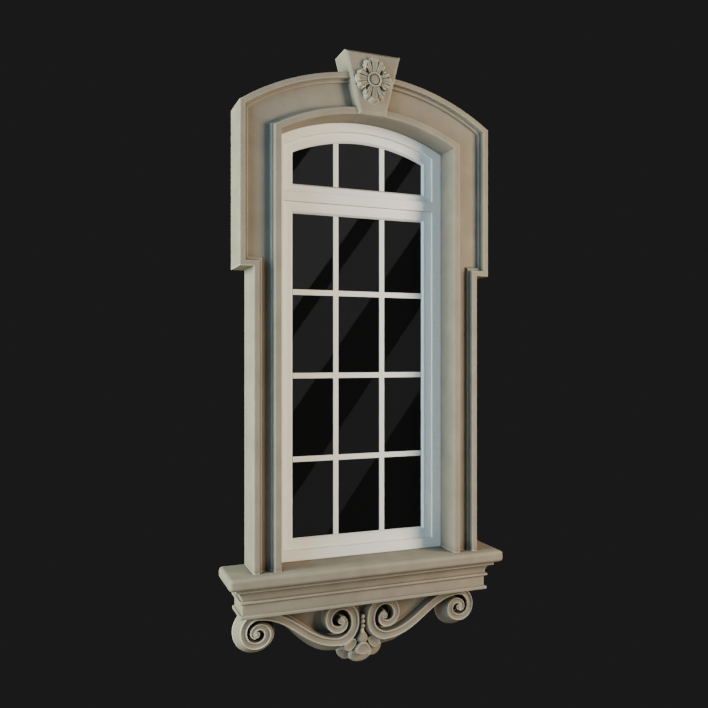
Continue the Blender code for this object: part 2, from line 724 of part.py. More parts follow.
def lattice_mesh(half, low, high):
    """The bars as one grid: each cell that holds a bar is a block, and the sides it shares are open."""
    def marks(start, end, centres):
        found = [start]
        for centre in centres:
            found += [centre - BAR_WIDTH / 2, centre + BAR_WIDTH / 2]
        return found + [end]

    xs = marks(-half, half, bar_centres(-half, half, LIGHT_COLUMNS))
    zs = marks(low, high, bar_centres(low, high, LIGHT_ROWS))
    back = GLASS_FRONT + GAP
    points = [(x, -front, z) for front in (back, back + BAR_DEPTH) for x in xs for z in zs]
    rows = len(zs)
    layer = len(xs) * rows

    def filled(i, j):
        inside = 0 <= i < len(xs) - 1 and 0 <= j < len(zs) - 1
        return inside and (i % 2 == 1 or j % 2 == 1)

    faces = []
    for i in range(len(xs) - 1):
        for j in range(len(zs) - 1):
            if not filled(i, j):
                continue
            square = [i * rows + j, (i + 1) * rows + j, (i + 1) * rows + j + 1, i * rows + j + 1]
            faces.append(tuple(square))
            faces.append(tuple(layer + k for k in reversed(square)))
            around = ((0, 1, i, j - 1), (1, 2, i + 1, j), (2, 3, i, j + 1), (3, 0, i - 1, j))
            for a, b, ni, nj in around:
                if not filled(ni, nj):
                    faces.append((square[a], square[b], layer + square[b], layer + square[a]))
    mesh = mesh_from("lower_glazing_bars", points, faces)
    work = bmesh.new()
    work.from_mesh(mesh)
    bmesh.ops.delete(work, geom=[v for v in work.verts if not v.link_faces], context="VERTS")
    work.to_mesh(mesh)
    work.free()
    return mesh


def glass_bounds():
    """Half width, bottom and top of the lower glass that shows, and the bottom of the upper glass."""
    edge = SASH_RAIL + SASH_CHAMFER
    half = FRAME_SIGHT - GAP - SASH_STILE - SASH_CHAMFER
    low = SILL_TOP + 2 * GAP + FRAME_WIDTH + edge
    high = TRANSOM_BOTTOM - GAP - edge
    upper = TRANSOM_TOP + GAP + FANLIGHT_RAIL + SASH_CHAMFER
    return half, low, high, upper


def build_surround(stone):
    made = add_object("architrave", architrave_mesh(), stone)
    pocket = prism_mesh("pocket", keystone_outline(GAP), -DEPTH - 0.05, -KEY_BACK + GAP)
    add_boolean(made, cutter("cut_keystone_pocket", pocket))

    made = add_object("keystone", keystone_mesh(), stone)
    add_boolean(made, cutter("add_rosette", rosette_mesh()), "UNION")

    low = (-HALF_SILL, -SILL_DEPTH, -SILL_THICKNESS / 2)
    sill = add_object("sill", box_mesh("sill", low, (HALF_SILL, 0.0, SILL_TOP)), stone)
    round_edges(sill.data, SILL_ROUND)
    add_object("sill_moulding", moulding_mesh(), stone)
    build_apron(stone)


def round_edges(mesh, radius):
    """Rounds every edge that doesn't lie on the back plane."""
    work = bmesh.new()
    work.from_mesh(mesh)
    edges = [edge for edge in work.edges if min(vert.co.y for vert in edge.verts) < -GAP]
    front = [edge for edge in edges if max(vert.co.y for vert in edge.verts) < -GAP]
    level = [edge for edge in edges if abs(edge.verts[0].co.z - edge.verts[1].co.z) < GAP]
    edges = front + [edge for edge in level if edge not in front]
    bmesh.ops.bevel(work, geom=edges, offset=radius, segments=3, profile=0.5, affect="EDGES")
    work.to_mesh(mesh)
    work.free()


def build_apron(stone):
    scroll = scroll_meshes()
    outer, inner = outer_volute_centre(), inner_volute_centre()
    right = [scroll]
    right.append(disc_mesh("outer_ground", outer, 0.80 * OUTER_VOLUTE_RADIUS, PANEL_DEPTH))
    right.append(disc_mesh("outer_eye", outer, 0.26 * OUTER_VOLUTE_RADIUS, SCROLL_DEPTH + 0.002, 0.008))
    right.append(disc_mesh("inner_eye", inner, 0.17 * INNER_VOLUTE_RADIUS, SCROLL_DEPTH + 0.002, 0.006))
    meshes = right + [mirrored(mesh) for mesh in right]
    meshes += [panel_mesh(), stem_mesh(), bell_mesh()] + bead_meshes() + shell_meshes()
    made = add_object("scroll_apron", joined("scroll_apron", meshes), stone)
    low = (-HALF_SILL, -SILL_DEPTH, APRON_TOP - APRON_ROOM)
    room = cutter("keep_below_moulding", box_mesh("room", low, (HALF_SILL, 0.0, APRON_TOP)))
    add_boolean(made, room, "INTERSECT", self_crossing=True)


def build_window(paint, glass):
    window_frame(paint)
    half = FRAME_SIGHT - GAP
    foot = SILL_TOP + 2 * GAP + FRAME_WIDTH
    lower = ring_mesh("lower_sash", sash_section(half, foot, lower_outline, SASH_RAIL))
    add_object("lower_sash", lower, paint)
    upper = ring_mesh("upper_sash", sash_section(half, TRANSOM_TOP + GAP, upper_outline, FANLIGHT_RAIL))
    add_object("upper_sash", upper, paint)

    half, low, high, upper_low = glass_bounds()
    add_object("lower_glazing_bars", lattice_mesh(half - GAP, low + GAP, high - GAP), paint)
    back = GLASS_FRONT + GAP
    radius = FRAME_SIGHT_RADIUS - 2 * GAP - SASH_STILE - SASH_CHAMFER
    for side, centre in zip(("left", "right"), bar_centres(-half, half, LIGHT_COLUMNS)):
        edges = (centre - BAR_WIDTH / 2, centre + BAR_WIDTH / 2)
        tops = [ARCH_CENTRE + math.sqrt(radius**2 - x**2) for x in edges]
        foot = upper_low + GAP
        outline = [(edges[0], foot), (edges[1], foot), (edges[1], tops[1]), (edges[0], tops[0])]
        name = f"upper_glazing_bar_{side}"
        add_object(name, prism_mesh(name, outline, -back - BAR_DEPTH, -back), paint)

    tuck = GLASS_REBATE - GAP
    corners = (-half - tuck, -GLASS_FRONT, low - tuck), (half + tuck, -GLASS_BACK, high + tuck)
    add_object("lower_glass", box_mesh("lower_glass", *corners), glass)
    arch = arched_outline(half + tuck, radius + GAP + tuck, upper_low - tuck, ARCH_SEGMENTS - 4)
    add_object("upper_glass", prism_mesh("upper_glass", arch, -GLASS_FRONT, -GLASS_BACK), glass)


def main():
    clear_scene()
    stone = material("limestone", (0.33, 0.29, 0.23), 0.85)
    paint = material("white_paint", (0.66, 0.66, 0.64), 0.45)
    glass = material("window_glass", (0.02, 0.02, 0.02), 0.03, alpha=0.35)
    build_surround(stone)
    build_window(paint, glass)


main()
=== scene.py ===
# %% [markdown]
# # A stone window surround, built up in Blender
#
# The object is a classical window surround: an architrave with ears and a segmental arch, a keystone
# with a carved rosette, a moulded sill, an apron of two scrolls below it, and the fixed two-light window
# that stands inside. The plain solids come from a CAD model. This file gives each of them the shape and
# the finish that the eye expects: rounded arrises, carved leaves, painted timber and clear glass.
#
# Lengths are in metres, +Z is up, the wall is at y = 0 and everything stands in front of it, at -Y.

# %% Load the CAD bodies
import math

import bmesh
import bpy
import numpy as np
from mathutils import Matrix, Vector
from mathutils.geometry import interpolate_bezier


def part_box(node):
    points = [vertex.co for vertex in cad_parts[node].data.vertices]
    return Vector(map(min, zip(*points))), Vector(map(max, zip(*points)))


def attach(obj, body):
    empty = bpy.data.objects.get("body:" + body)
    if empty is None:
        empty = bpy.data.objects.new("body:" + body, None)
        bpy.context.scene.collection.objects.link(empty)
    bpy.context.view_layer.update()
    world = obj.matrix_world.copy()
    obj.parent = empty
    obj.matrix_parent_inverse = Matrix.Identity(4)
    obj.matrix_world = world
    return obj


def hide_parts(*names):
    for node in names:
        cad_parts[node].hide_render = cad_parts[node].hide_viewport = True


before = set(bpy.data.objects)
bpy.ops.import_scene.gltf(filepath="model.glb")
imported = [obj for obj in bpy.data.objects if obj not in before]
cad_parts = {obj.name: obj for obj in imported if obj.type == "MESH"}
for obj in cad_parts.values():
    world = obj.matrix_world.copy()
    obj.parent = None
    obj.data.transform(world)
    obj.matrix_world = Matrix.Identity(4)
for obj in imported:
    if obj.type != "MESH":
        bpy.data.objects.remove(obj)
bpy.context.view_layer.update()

# %% [markdown]
# ## The camera
#
# The picture was taken from the left of the window, at about the height of its middle pane, with the
# camera held level. A level camera keeps uprights upright, so the lens is only shifted by a hair. The
# image is square, 708 pixels a side, which is what turns a lens length into an angle.

# %% Place the camera
camera_data = bpy.data.cameras.new("camera")
camera_data.sensor_width = 36.0
camera_data.lens = 37.56
camera_data.shift_y = 0.0045
camera = bpy.data.objects.new("camera", camera_data)
bpy.context.scene.collection.objects.link(camera)
camera.location = (-1.528, -3.864, 1.130)
camera.rotation_euler = (math.radians(90.0), 0.0, math.radians(-21.26))
bpy.context.scene.camera = camera

# %% [markdown]
# ## Helpers for colour and shader nodes
#
# Colours are written as web colours, because those can be compared with a picture, and one function
# turns them into the linear values that shaders work in. A second function adds any shader node, with
# its settings and its links in one call.


# %% Colour and node helpers
def linear(hex_colour):
    """An sRGB web colour as linear red, green, blue and alpha."""
    channels = [int(hex_colour[i : i + 2], 16) / 255 for i in (1, 3, 5)]
    return [c / 12.92 if c <= 0.04045 else ((c + 0.055) / 1.055) ** 2.4 for c in channels] + [1.0]


def add_node(tree, kind, values=None, **settings):
    """Adds a node. values maps an input's name or number to a plain value or to the socket that feeds it."""
    made = tree.nodes.new(kind)
    for name, value in settings.items():
        setattr(made, name, value)
    for key, value in (values or {}).items():
        if isinstance(value, bpy.types.NodeSocket):
            tree.links.new(value, made.inputs[key])
        else:
            made.inputs[key].default_value = value
    return made


def new_material(name):
    made = bpy.data.materials.new(name)
    made.use_nodes = True
    tree = made.node_tree
    return made, tree, tree.nodes["Principled BSDF"]


# %% [markdown]
# The rest are short names for what the materials need more than once. Each of them adds a node or two to
# the tree and gives back the socket that carries the result.


# %% Short names for common nodes
def noise(tree, vector, scale, detail, **more):
    values = {"Vector": vector, "Scale": scale, "Detail": detail, **more}
    return add_node(tree, "ShaderNodeTexNoise", values).outputs["Fac"]


def openness(tree, distance, samples, **settings):
    """Ambient occlusion within distance: 1 in the open, 0 in a deep hollow."""
    values = {"Distance": distance}
    return add_node(tree, "ShaderNodeAmbientOcclusion", values, samples=samples, **settings).outputs["AO"]


def map_range(tree, value, source, target):
    """Brings a value from the span source into the span target and holds it at both ends."""
    limits = {"From Min": source[0], "From Max": source[1], "To Min": target[0], "To Max": target[1]}
    return add_node(tree, "ShaderNodeMapRange", {"Value": value, **limits}).outputs["Result"]


def mix_colours(tree, factor, first, second, **settings):
    values = {"Factor": factor, "A": first, "B": second}
    return add_node(tree, "ShaderNodeMix", values, data_type="RGBA", **settings).outputs["Result"]


def ramp(tree, factor, *stops):
    """A colour ramp through two stops, each a position and a web colour."""
    made = add_node(tree, "ShaderNodeValToRGB", {"Fac": factor})
    for element, (position, hex_colour) in zip(made.color_ramp.elements, stops):
        element.position, element.color = position, linear(hex_colour)
    return made.outputs["Color"]


def add_bump(tree, shader, height, strength, distance):
    values = {"Height": height, "Strength": strength, "Distance": distance}
    made = add_node(tree, "ShaderNodeBump", values)
    tree.links.new(made.outputs["Normal"], shader.inputs["Normal"])


# %% [markdown]
# ## Limestone
#
# The surround is fine-grained limestone, sawn and rubbed smooth. From a few metres it reads as one warm
# grey-beige with soft clouds in it and a faint speckle of grains. Painted shade makes the bottoms of the
# mouldings darker and browner, and painted highlights make the arrises paler. The clouds are a slow noise,
# about 120 mm across, and the grain is noise at 3 mm, coarser than the real half millimetre so that it
# still shows. Ambient occlusion finds the sunk places for the painted shade. Measured inside the stone,
# it finds the arrises for the painted highlights, which are left off the faces that look down. The stone
# has hardly any gloss.

# %% Make the limestone
limestone, tree, shader = new_material("rubbed_limestone")
place = add_node(tree, "ShaderNodeTexCoord").outputs["Object"]
clouds = noise(tree, place, 8.0, 4.0, Roughness=0.55)
grain = noise(tree, place, 330.0, 3.0)
stone = ramp(tree, clouds, (0.30, "#7d766a"), (0.72, "#8b8376"))
speckle = map_range(tree, grain, (0.3, 0.7), (0.93, 1.05))
speckled = mix_colours(tree, 1.0, stone, speckle, blend_type="MULTIPLY")
# Painted shade: ambient occlusion darkens the sunk places towards a dark brown.
painted_shade = map_range(tree, openness(tree, 0.07, 8), (0.20, 0.80), (0.85, 0.0))
shaded_stone = mix_colours(tree, painted_shade, speckled, linear("#3f392e"))
# Painted highlight: a pale colour on the arrises, found by occlusion measured inside the stone and kept off
# faces that look down.
highlight_on_arrises = map_range(tree, openness(tree, 0.010, 8, inside=True), (0.50, 0.90), (0.50, 0.0))
facing = add_node(tree, "ShaderNodeNewGeometry").outputs["Normal"]
upward = add_node(tree, "ShaderNodeSeparateXYZ", {"Vector": facing}).outputs["Z"]
not_facing_down = map_range(tree, upward, (-0.8, -0.5), (0.0, 1.0))
painted_highlight = add_node(tree, "ShaderNodeMath", {0: highlight_on_arrises, 1: not_facing_down}, operation="MULTIPLY").outputs["Value"]
tree.links.new(mix_colours(tree, painted_highlight, shaded_stone, linear("#c9c4b4")), shader.inputs["Base Color"])
rubbed = noise(tree, place, 45.0, 3.0)
relief = add_node(tree, "ShaderNodeMath", {0: grain, 1: rubbed}, operation="ADD").outputs["Value"]
add_bump(tree, shader, relief, 0.22, 0.0012)
shader.inputs["Roughness"].default_value = 0.82
shader.inputs["IOR"].default_value = 1.5
shader.inputs["Specular IOR Level"].default_value = 0.3
print("limestone:", len(tree.nodes), "nodes")

# %% [markdown]
# ## White paint on timber
#
# The window is painted softwood. Satin paint is smooth, but the brush leaves fine lines along each
# member, upright on the stiles and level on the rails. The meshes carry an attribute named "level",
# 1 on the level members and 0 on the upright ones, and the material uses it to choose between two
# stretched noises. The streaks are about 2 mm across and far longer than that. Painted shade darkens
# the corners.

# %% Make the painted timber
paint, tree, shader = new_material("satin_white_paint")
place = add_node(tree, "ShaderNodeTexCoord").outputs["Object"]
level = add_node(tree, "ShaderNodeAttribute", attribute_name="level").outputs["Fac"]
streaks = []
for stretch in ((420.0, 420.0, 7.0), (7.0, 420.0, 420.0)):
    run = add_node(tree, "ShaderNodeMapping", {"Vector": place, "Scale": stretch}).outputs["Vector"]
    streaks.append(noise(tree, run, 1.0, 3.0))
choice = {"Factor": level, "A": streaks[0], "B": streaks[1]}
brushed = add_node(tree, "ShaderNodeMix", choice).outputs["Result"]
coat = ramp(tree, brushed, (0.25, "#e0e1dc"), (0.75, "#eeeee9"))
# Painted shade: ambient occlusion darkens the paint in the corners.
painted_corner_shade = map_range(tree, openness(tree, 0.012, 6), (0.2, 0.75), (0.7, 0.0))
tree.links.new(mix_colours(tree, painted_corner_shade, coat, linear("#8c877c")), shader.inputs["Base Color"])
add_bump(tree, shader, brushed, 0.15, 0.0004)
shader.inputs["Roughness"].default_value = 0.38
shader.inputs["IOR"].default_value = 1.5
print("painted timber:", len(tree.nodes), "nodes")

# %% [markdown]
# ## Window glass
#
# Float glass is clear. With a dark room behind it, all that shows is what it mirrors, so the colour is
# close to black and the alpha lets the back through. All its numbers sit on the shader's own sockets.
# A very slow waviness keeps the mirrored shapes from being ruler-straight.

# %% Make the glass
glass, tree, shader = new_material("clear_float_glass")
place = add_node(tree, "ShaderNodeTexCoord").outputs["Object"]
ripple = noise(tree, place, 3.0, 1.0)
add_bump(tree, shader, ripple, 0.02, 0.002)
shader.inputs["Base Color"].default_value = (0.002, 0.002, 0.002, 1.0)
shader.inputs["Roughness"].default_value = 0.0
shader.inputs["IOR"].default_value = 1.52
shader.inputs["Alpha"].default_value = 0.45
print("glass:", len(tree.nodes), "nodes")

# %% [markdown]
# ## Helpers for shapes
#
# Most pieces are a moulding carried along a path. A moulding is drawn as an open line of corner points,
# then its corners are rounded, because no stone arris is a knife edge: that round is what catches the
# light. One function rounds a profile, and the next turns points and faces into a mesh.


# %% Helpers for profiles and meshes
MERGE = 1e-6


def rounded(profile, radii, steps=4):
    """An open line of (a, b) corners with each corner cut by a curve. radii has one length a corner."""
    found = [profile[0]]
    for k in range(1, len(profile) - 1):
        corner = Vector(profile[k])
        before, after = Vector(profile[k - 1]) - corner, Vector(profile[k + 1]) - corner
        reach = min(radii[k], 0.48 * before.length, 0.48 * after.length)
        if reach < 1e-6:
            found.append(tuple(corner))
            continue
        start, end = corner + before.normalized() * reach, corner + after.normalized() * reach
        for i in range(steps + 1):
            t = i / steps
            found.append(tuple(start * (1 - t) ** 2 + corner * 2 * t * (1 - t) + end * t * t))
    return found + [profile[-1]]


def build_mesh(name, points, faces):
    """A mesh with doubles merged and its faces turned outward."""
    mesh = bpy.data.meshes.new(name)
    mesh.from_pydata([tuple(point) for point in points], [], faces)
    work = bmesh.new()
    work.from_mesh(mesh)
    bmesh.ops.remove_doubles(work, verts=work.verts, dist=MERGE)
    bmesh.ops.recalc_face_normals(work, faces=work.faces)
    work.to_mesh(mesh)
    work.free()
    return mesh


def strip_faces(start, following, count, closed=False):
    """Quads between two rows of points that start at these numbers."""
    ends = [(i, (i + 1) % count) for i in range(count if closed else count - 1)]
    return [(start + i, start + j, following + j, following + i) for i, j in ends]


def tube_faces(count, rings):
    """Bands between rings of count points each, with a cap on the first ring and on the last."""
    faces = [tuple(range(count)), tuple(range(count * rings - 1, count * (rings - 1) - 1, -1))]
    for k in range(rings - 1):
        faces += strip_faces(count * k, count * (k + 1), count, closed=True)
    return faces


def prism(name, outline, front, back=0.0):
    """An (x, z) outline carried from one distance in front of the wall to another."""
    points = [(x, -front, z) for x, z in outline] + [(x, -back, z) for x, z in outline]
    return build_mesh(name, points, tube_faces(len(outline), 2))


def joined(name, meshes):
    """One mesh that holds them all."""
    made, work = bpy.data.meshes.new(name), bmesh.new()
    for mesh in meshes:
        work.from_mesh(mesh)
    work.to_mesh(made)
    work.free()
    return made


# %% [markdown]
# The last helpers work on objects. A piece whose modifiers have done their work becomes a plain mesh. A
# finished piece gets its material, is shaded smooth, keeps its flat faces flat by weighted normals, and
# hangs under the root body while the CAD nodes that it stands for are hidden.


# %% Helpers for objects
def plain_copy(piece):
    """The piece's mesh as its modifiers leave it, on the same object with no modifiers."""
    graph = bpy.context.evaluated_depsgraph_get()
    mesh = bpy.data.meshes.new_from_object(piece.evaluated_get(graph))
    piece.modifiers.clear()
    piece.data = mesh
    return piece


def link_object(name, mesh):
    made = bpy.data.objects.new(name, mesh)
    bpy.context.scene.collection.objects.link(made)
    return made


def finish_piece(piece, finish, slot, *nodes, angle=40.0):
    """Shading and material; the piece goes under the root body and the CAD nodes it stands for are hidden."""
    mesh = piece.data
    mesh.materials.clear()
    mesh.materials.append(finish)
    mesh.shade_smooth()
    mesh.set_sharp_from_angle(angle=math.radians(angle))
    even = piece.modifiers.new("even_shading", "WEIGHTED_NORMAL")
    even.keep_sharp = True
    even.weight = 60
    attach(piece, "root")
    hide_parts(*nodes)
    print(f"{piece.name}: {len(mesh.polygons)} faces, {[round(v, 3) for v in piece.dimensions]} m")
    return piece


# %% [markdown]
# ## Sizes read from the CAD nodes
#
# Every piece goes where its CAD node is. The architrave's depth, foot, head and the width across its ears
# are read from the node's box; the jambs, the ear's underside, the arch's rise, the head's width and the
# opening are typed in. The arcs of the head and of the opening share one centre, which follows from the
# rise of the arch above its ears.

# %% Read the sizes
low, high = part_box("architrave")
DEPTH = -low.y
HALF_EARS = high.x
FOOT = low.z
HEAD = high.z
HALF_JAMBS = 0.6477
EAR_UNDERSIDE = 1.590
ARCH_RISE = 0.223
HEAD_WIDTH = 0.222
HALF_OPENING = 0.500
ARCH_RADIUS = (HALF_EARS**2 + ARCH_RISE**2) / (2 * ARCH_RISE)
ARCH_CENTRE = HEAD - ARCH_RADIUS
OPENING_RADIUS = ARCH_RADIUS - HEAD_WIDTH
ARCH_STEPS = 72
print(f"arch radius {ARCH_RADIUS:.3f} m, opening radius {OPENING_RADIUS:.3f} m")


def arch_points(half, radius):
    """Points of an arc round the arch's centre, from x = -half to x = half."""
    swing = math.asin(half / radius)
    turns = [swing * (2 * i / ARCH_STEPS - 1) for i in range(ARCH_STEPS + 1)]
    return [(radius * math.sin(turn), ARCH_CENTRE + radius * math.cos(turn)) for turn in turns]


# %% [markdown]
# ## The architrave
#
# The architrave is the moulded frame of the opening. Seen in section it has a raised rim outside, a
# small fillet, a flat sunk frieze, and a band round the opening with a soft inner edge. The rim follows
# the eared outline and the band follows the opening, so the two are carried along different paths and
# the frieze fills what is between. Near the head the rim's mitres come of themselves, because each
# profile point keeps its own distance from the outline.


# %% Carry the mouldings round the architrave
def eared_outline(inset):
    """The outer edge moved in by inset, corners mitred, from the left foot to the right one."""
    jamb, ear = HALF_JAMBS - inset, HALF_EARS - inset
    under = EAR_UNDERSIDE + inset
    left = [(-jamb, FOOT), (-jamb, under), (-ear, under)]
    right = [(ear, under), (jamb, under), (jamb, FOOT)]
    return left + arch_points(ear, ARCH_RADIUS - inset) + right


def opening_outline(out):
    """The opening's edge moved out, with as many points as the outer edge, so the two join point to point."""
    half, low_mark, high_mark = HALF_OPENING + out, EAR_UNDERSIDE + 0.065, EAR_UNDERSIDE + 0.075
    left = [(-half, FOOT), (-half, low_mark), (-half, high_mark)]
    right = [(half, high_mark), (half, low_mark), (half, FOOT)]
    return left + arch_points(half, OPENING_RADIUS + out) + right


FILLET, FRIEZE = DEPTH - 0.026, DEPTH - 0.042
RIM = [(0, 0), (0, DEPTH), (0.031, DEPTH), (0.034, FILLET), (0.048, FILLET), (0.052, FRIEZE), (0.070, FRIEZE)]
BAND = [(0.070, FRIEZE), (0.052, FRIEZE), (0.049, FILLET), (0.0405, FILLET), (0.0365, DEPTH)]
BAND += [(0, DEPTH), (0, 0)]
rim_profile = rounded(RIM, [0, 0.009, 0.0045, 0.003, 0.0042, 0.003, 0])
band_profile = rounded(BAND, [0, 0.003, 0.0035, 0.003, 0.004, 0.0095, 0])
points = []
for profile, outline in ((rim_profile, eared_outline), (band_profile, opening_outline)):
    for inset, front in profile:
        points += [(x, -front, z) for x, z in outline(inset)]
count = len(eared_outline(0.0))
rows = len(points) // count
faces = []
for row in range(rows):
    faces += strip_faces(row * count, (row + 1) % rows * count, count)
faces.append(tuple(range(0, rows * count, count)))
faces.append(tuple(range(count - 1, rows * count, count)))
architrave = link_object("architrave_stone", build_mesh("architrave_stone", points, faces))

# %% [markdown]
# The keystone is let into the arch. Its pocket is cut with a Boolean, and the result is made a plain
# mesh straight away, so that nothing downstream depends on the cutter.

# %% Cut the pocket for the keystone
low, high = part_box("keystone")
KEY_TOP, KEY_BOTTOM = high.z, low.z
KEY_TOP_HALF, KEY_BOTTOM_HALF = high.x, 0.078
RELIEF = 0.026
KEY_FRONT, KEY_BACK = -low.y - RELIEF, -high.y


def key_half(height, margin=0.0):
    share = (height - KEY_BOTTOM) / (KEY_TOP - KEY_BOTTOM)
    return KEY_BOTTOM_HALF + (KEY_TOP_HALF - KEY_BOTTOM_HALF) * share + margin


def wedge(name, margin, front, back):
    bottom, top = KEY_BOTTOM - margin, KEY_TOP + margin
    corners = [(-key_half(bottom, margin), bottom), (key_half(bottom, margin), bottom)]
    corners += [(key_half(top, margin), top), (-key_half(top, margin), top)]
    return prism(name, corners, front, back)


# The space that stays between pieces that are let into one another.
GAP = 0.0003
pocket = link_object("pocket", wedge("pocket", GAP, DEPTH + 0.05, KEY_BACK - GAP))
cut = architrave.modifiers.new("pocket", "BOOLEAN")
cut.operation, cut.solver, cut.object = "DIFFERENCE", "EXACT", pocket
plain_copy(architrave)
bpy.data.objects.remove(pocket)
finish_piece(architrave, limestone, "limestone", "architrave")

# %% [markdown]
# ## The keystone and its rosette
#
# The block is a wedge with its front edges bevelled. The rosette is carved in relief: a round boss in a
# narrow collar, and four acanthus leaves round it, each a fan of five fluted lobes that curl up at their
# tips. Where two leaves meet, the carver drilled a deep hole. All of that is one height over the block's
# face, so the mesh is a web of spokes and rings, and the height is a formula of the turn and of the
# distance from the middle.

# %% Make the wedge
KEY_BEVEL, KEY_ARRIS = 0.0125, 0.0022
block = link_object("keystone_stone", wedge("keystone_stone", 0.0, KEY_FRONT, KEY_BACK))
work = bmesh.new()
work.from_mesh(block.data)
front_edges = [e for e in work.edges if all(abs(v.co.y + KEY_FRONT) < 1e-6 for v in e.verts)]
bmesh.ops.bevel(work, geom=front_edges, offset=KEY_BEVEL, segments=1, profile=0.5, affect="EDGES")
corner_edges = [e for e in work.edges if e.calc_face_angle(0.0) > math.radians(20)]
corner_edges = [e for e in corner_edges if min(v.co.y for v in e.verts) < -KEY_BACK - 1e-4]
bmesh.ops.bevel(work, geom=corner_edges, offset=KEY_ARRIS, segments=3, profile=0.5, affect="EDGES")
work.to_mesh(block.data)
work.free()
print("keystone block:", len(block.data.polygons), "faces")

# %% [markdown]
# Each lobe has a turn from its leaf's axis, a half width and a reach. The turns are in degrees, and the
# reach is a share of the leaf's length. The upright leaves are longer than the level ones.

# %% Lay out the leaves of the rosette
ROSETTE_CENTRE = KEY_TOP - 0.149
UPRIGHT_LEAF, LEVEL_LEAF = 0.124, 0.1065
SPOKES, RINGS = 400, 64
LOBES = ((0.0, 15.5, 1.0), (23.0, 9.5, 0.93), (38.0, 7.5, 0.80))
turn = np.linspace(0, 2 * np.pi, SPOKES, endpoint=False)
leaf_turn = np.degrees(np.abs((turn + np.pi / 4) % (np.pi / 2) - np.pi / 4))
upright = np.abs(np.cos(turn)) > np.abs(np.sin(turn))
top_leaf = np.cos(turn) > 0.707
from_axis = np.array([np.abs(leaf_turn - middle) / half for middle, half, out in LOBES])
lobe_reach = np.array([out * (1 - 0.09 * q**2) for q, (middle, half, out) in zip(from_axis, LOBES)])
off_axis = np.clip(from_axis.min(axis=0), 0, 1)
gap = np.exp(-(((leaf_turn - 45) / 3.6) ** 2))
edge = np.where(upright, UPRIGHT_LEAF, LEVEL_LEAF) * lobe_reach.max(axis=0) * (1 - 0.20 * gap)
groove = np.clip((off_axis - 0.55) / 0.45, 0, 1) ** 2
centre_lobe = from_axis[0] < 1.0


def carved_height(share):
    """Relief over the block's face at a share of the way from the collar to the leaf's edge."""
    body = (0.50 + 0.30 * np.sin(np.pi * np.clip(0.05 + 0.75 * share, 0, 1))) * (1 - share**9)
    crown = 0.16 * (1 - off_axis**2) * share
    curl = np.where(centre_lobe, 0.34, 0.20) * np.exp(-(((share - 0.84) / 0.10) ** 2)) * (1 - off_axis**4)
    curl = curl * np.where(top_leaf, 1.25, 1.0)
    flute = 0.16 * np.exp(-((off_axis / 0.30) ** 2)) * np.sin(np.pi * np.clip(share * 1.25, 0, 1))
    deep = gap * (0.35 + 0.65 * np.exp(-(((share - 0.42) / 0.26) ** 2)))
    hole = np.exp(-(((leaf_turn - 45) / 7.0) ** 2 + ((share - 0.42) / 0.20) ** 2))
    height = body * (1 - groove * (0.34 + 0.34 * share)) + (crown + curl) * (1 - share**12) - flute
    return np.clip(height * (1 - 0.85 * deep) - 0.95 * hole, 0.0, 1.0)


# %% Carve the rosette
collar = [(0.0, 0.82), (0.009, 0.81), (0.017, 0.78), (0.0225, 0.72), (0.0255, 0.62), (0.0275, 0.52)]
collar += [(0.0292, 0.50), (0.0308, 0.60), (0.0322, 0.78), (0.0338, 0.86), (0.0355, 0.88), (0.0372, 0.86)]
collar += [(0.0388, 0.78), (0.0402, 0.68)]


def web_ring(reach, relief):
    """One ring of the web: a reach and a relief for every spoke."""
    return [
        (r * math.sin(a), -KEY_FRONT - h * RELIEF, ROSETTE_CENTRE + r * math.cos(a))
        for a, r, h in zip(turn, np.broadcast_to(reach, SPOKES), np.broadcast_to(relief, SPOKES))
    ]


inner = collar[-1][0]
points = [(0.0, -KEY_FRONT - collar[0][1] * RELIEF, ROSETTE_CENTRE)]
for out, rise in collar[1:]:
    points += web_ring(out, rise)
for k in range(1, RINGS + 1):
    share = 1 - (1 - k / RINGS) ** 1.35
    points += web_ring(inner + (edge - inner) * share, carved_height(share) if k < RINGS else 0.0)
points += web_ring(edge, -0.004 / RELIEF)
faces = [(0, 1 + i, 1 + (i + 1) % SPOKES) for i in range(SPOKES)]
rows = len(collar) + RINGS
for row in range(rows - 1):
    faces += strip_faces(1 + row * SPOKES, 1 + (row + 1) * SPOKES, SPOKES, closed=True)
last = 1 + (rows - 1) * SPOKES
faces.append(tuple(range(last, last + SPOKES)))
block.data = joined("keystone_stone", (block.data, build_mesh("rosette", points, faces)))
finish_piece(block, limestone, "limestone", "keystone", angle=55.0)

# %% [markdown]
# ## The sill slab
#
# A thick slab whose edges have worn round. The back face stays square, because it lies against the
# wall. A bevel of many segments along every other edge gives the soft nosing that catches the light.

# %% Make the sill
SILL_ROUND = 0.020
low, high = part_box("sill")
corners = [(x, y, z) for x in (low.x, high.x) for y in (low.y, high.y) for z in (low.z, high.z)]
sides = [(0, 1, 3, 2), (4, 6, 7, 5), (0, 4, 5, 1), (2, 3, 7, 6), (0, 2, 6, 4), (1, 5, 7, 3)]
sill = link_object("sill_stone", build_mesh("sill_stone", corners, sides))
work = bmesh.new()
work.from_mesh(sill.data)
edges = [e for e in work.edges if not all(abs(v.co.y - high.y) < 1e-6 for v in e.verts)]
bmesh.ops.bevel(work, geom=edges, offset=SILL_ROUND, segments=9, profile=0.5, affect="EDGES")
work.to_mesh(sill.data)
work.free()
finish_piece(sill, limestone, "limestone", "sill")
SILL_HALF, SILL_DEPTH = high.x, -low.y

# %% [markdown]
# ## The bed moulding under the sill
#
# From the top down: a fillet, a hollow cove, a bead, a flat frieze and a small foot. The profile is
# drawn once, with its distance back from the slab's edge, and carried round the two short returns and
# the front, mitred at the corners.

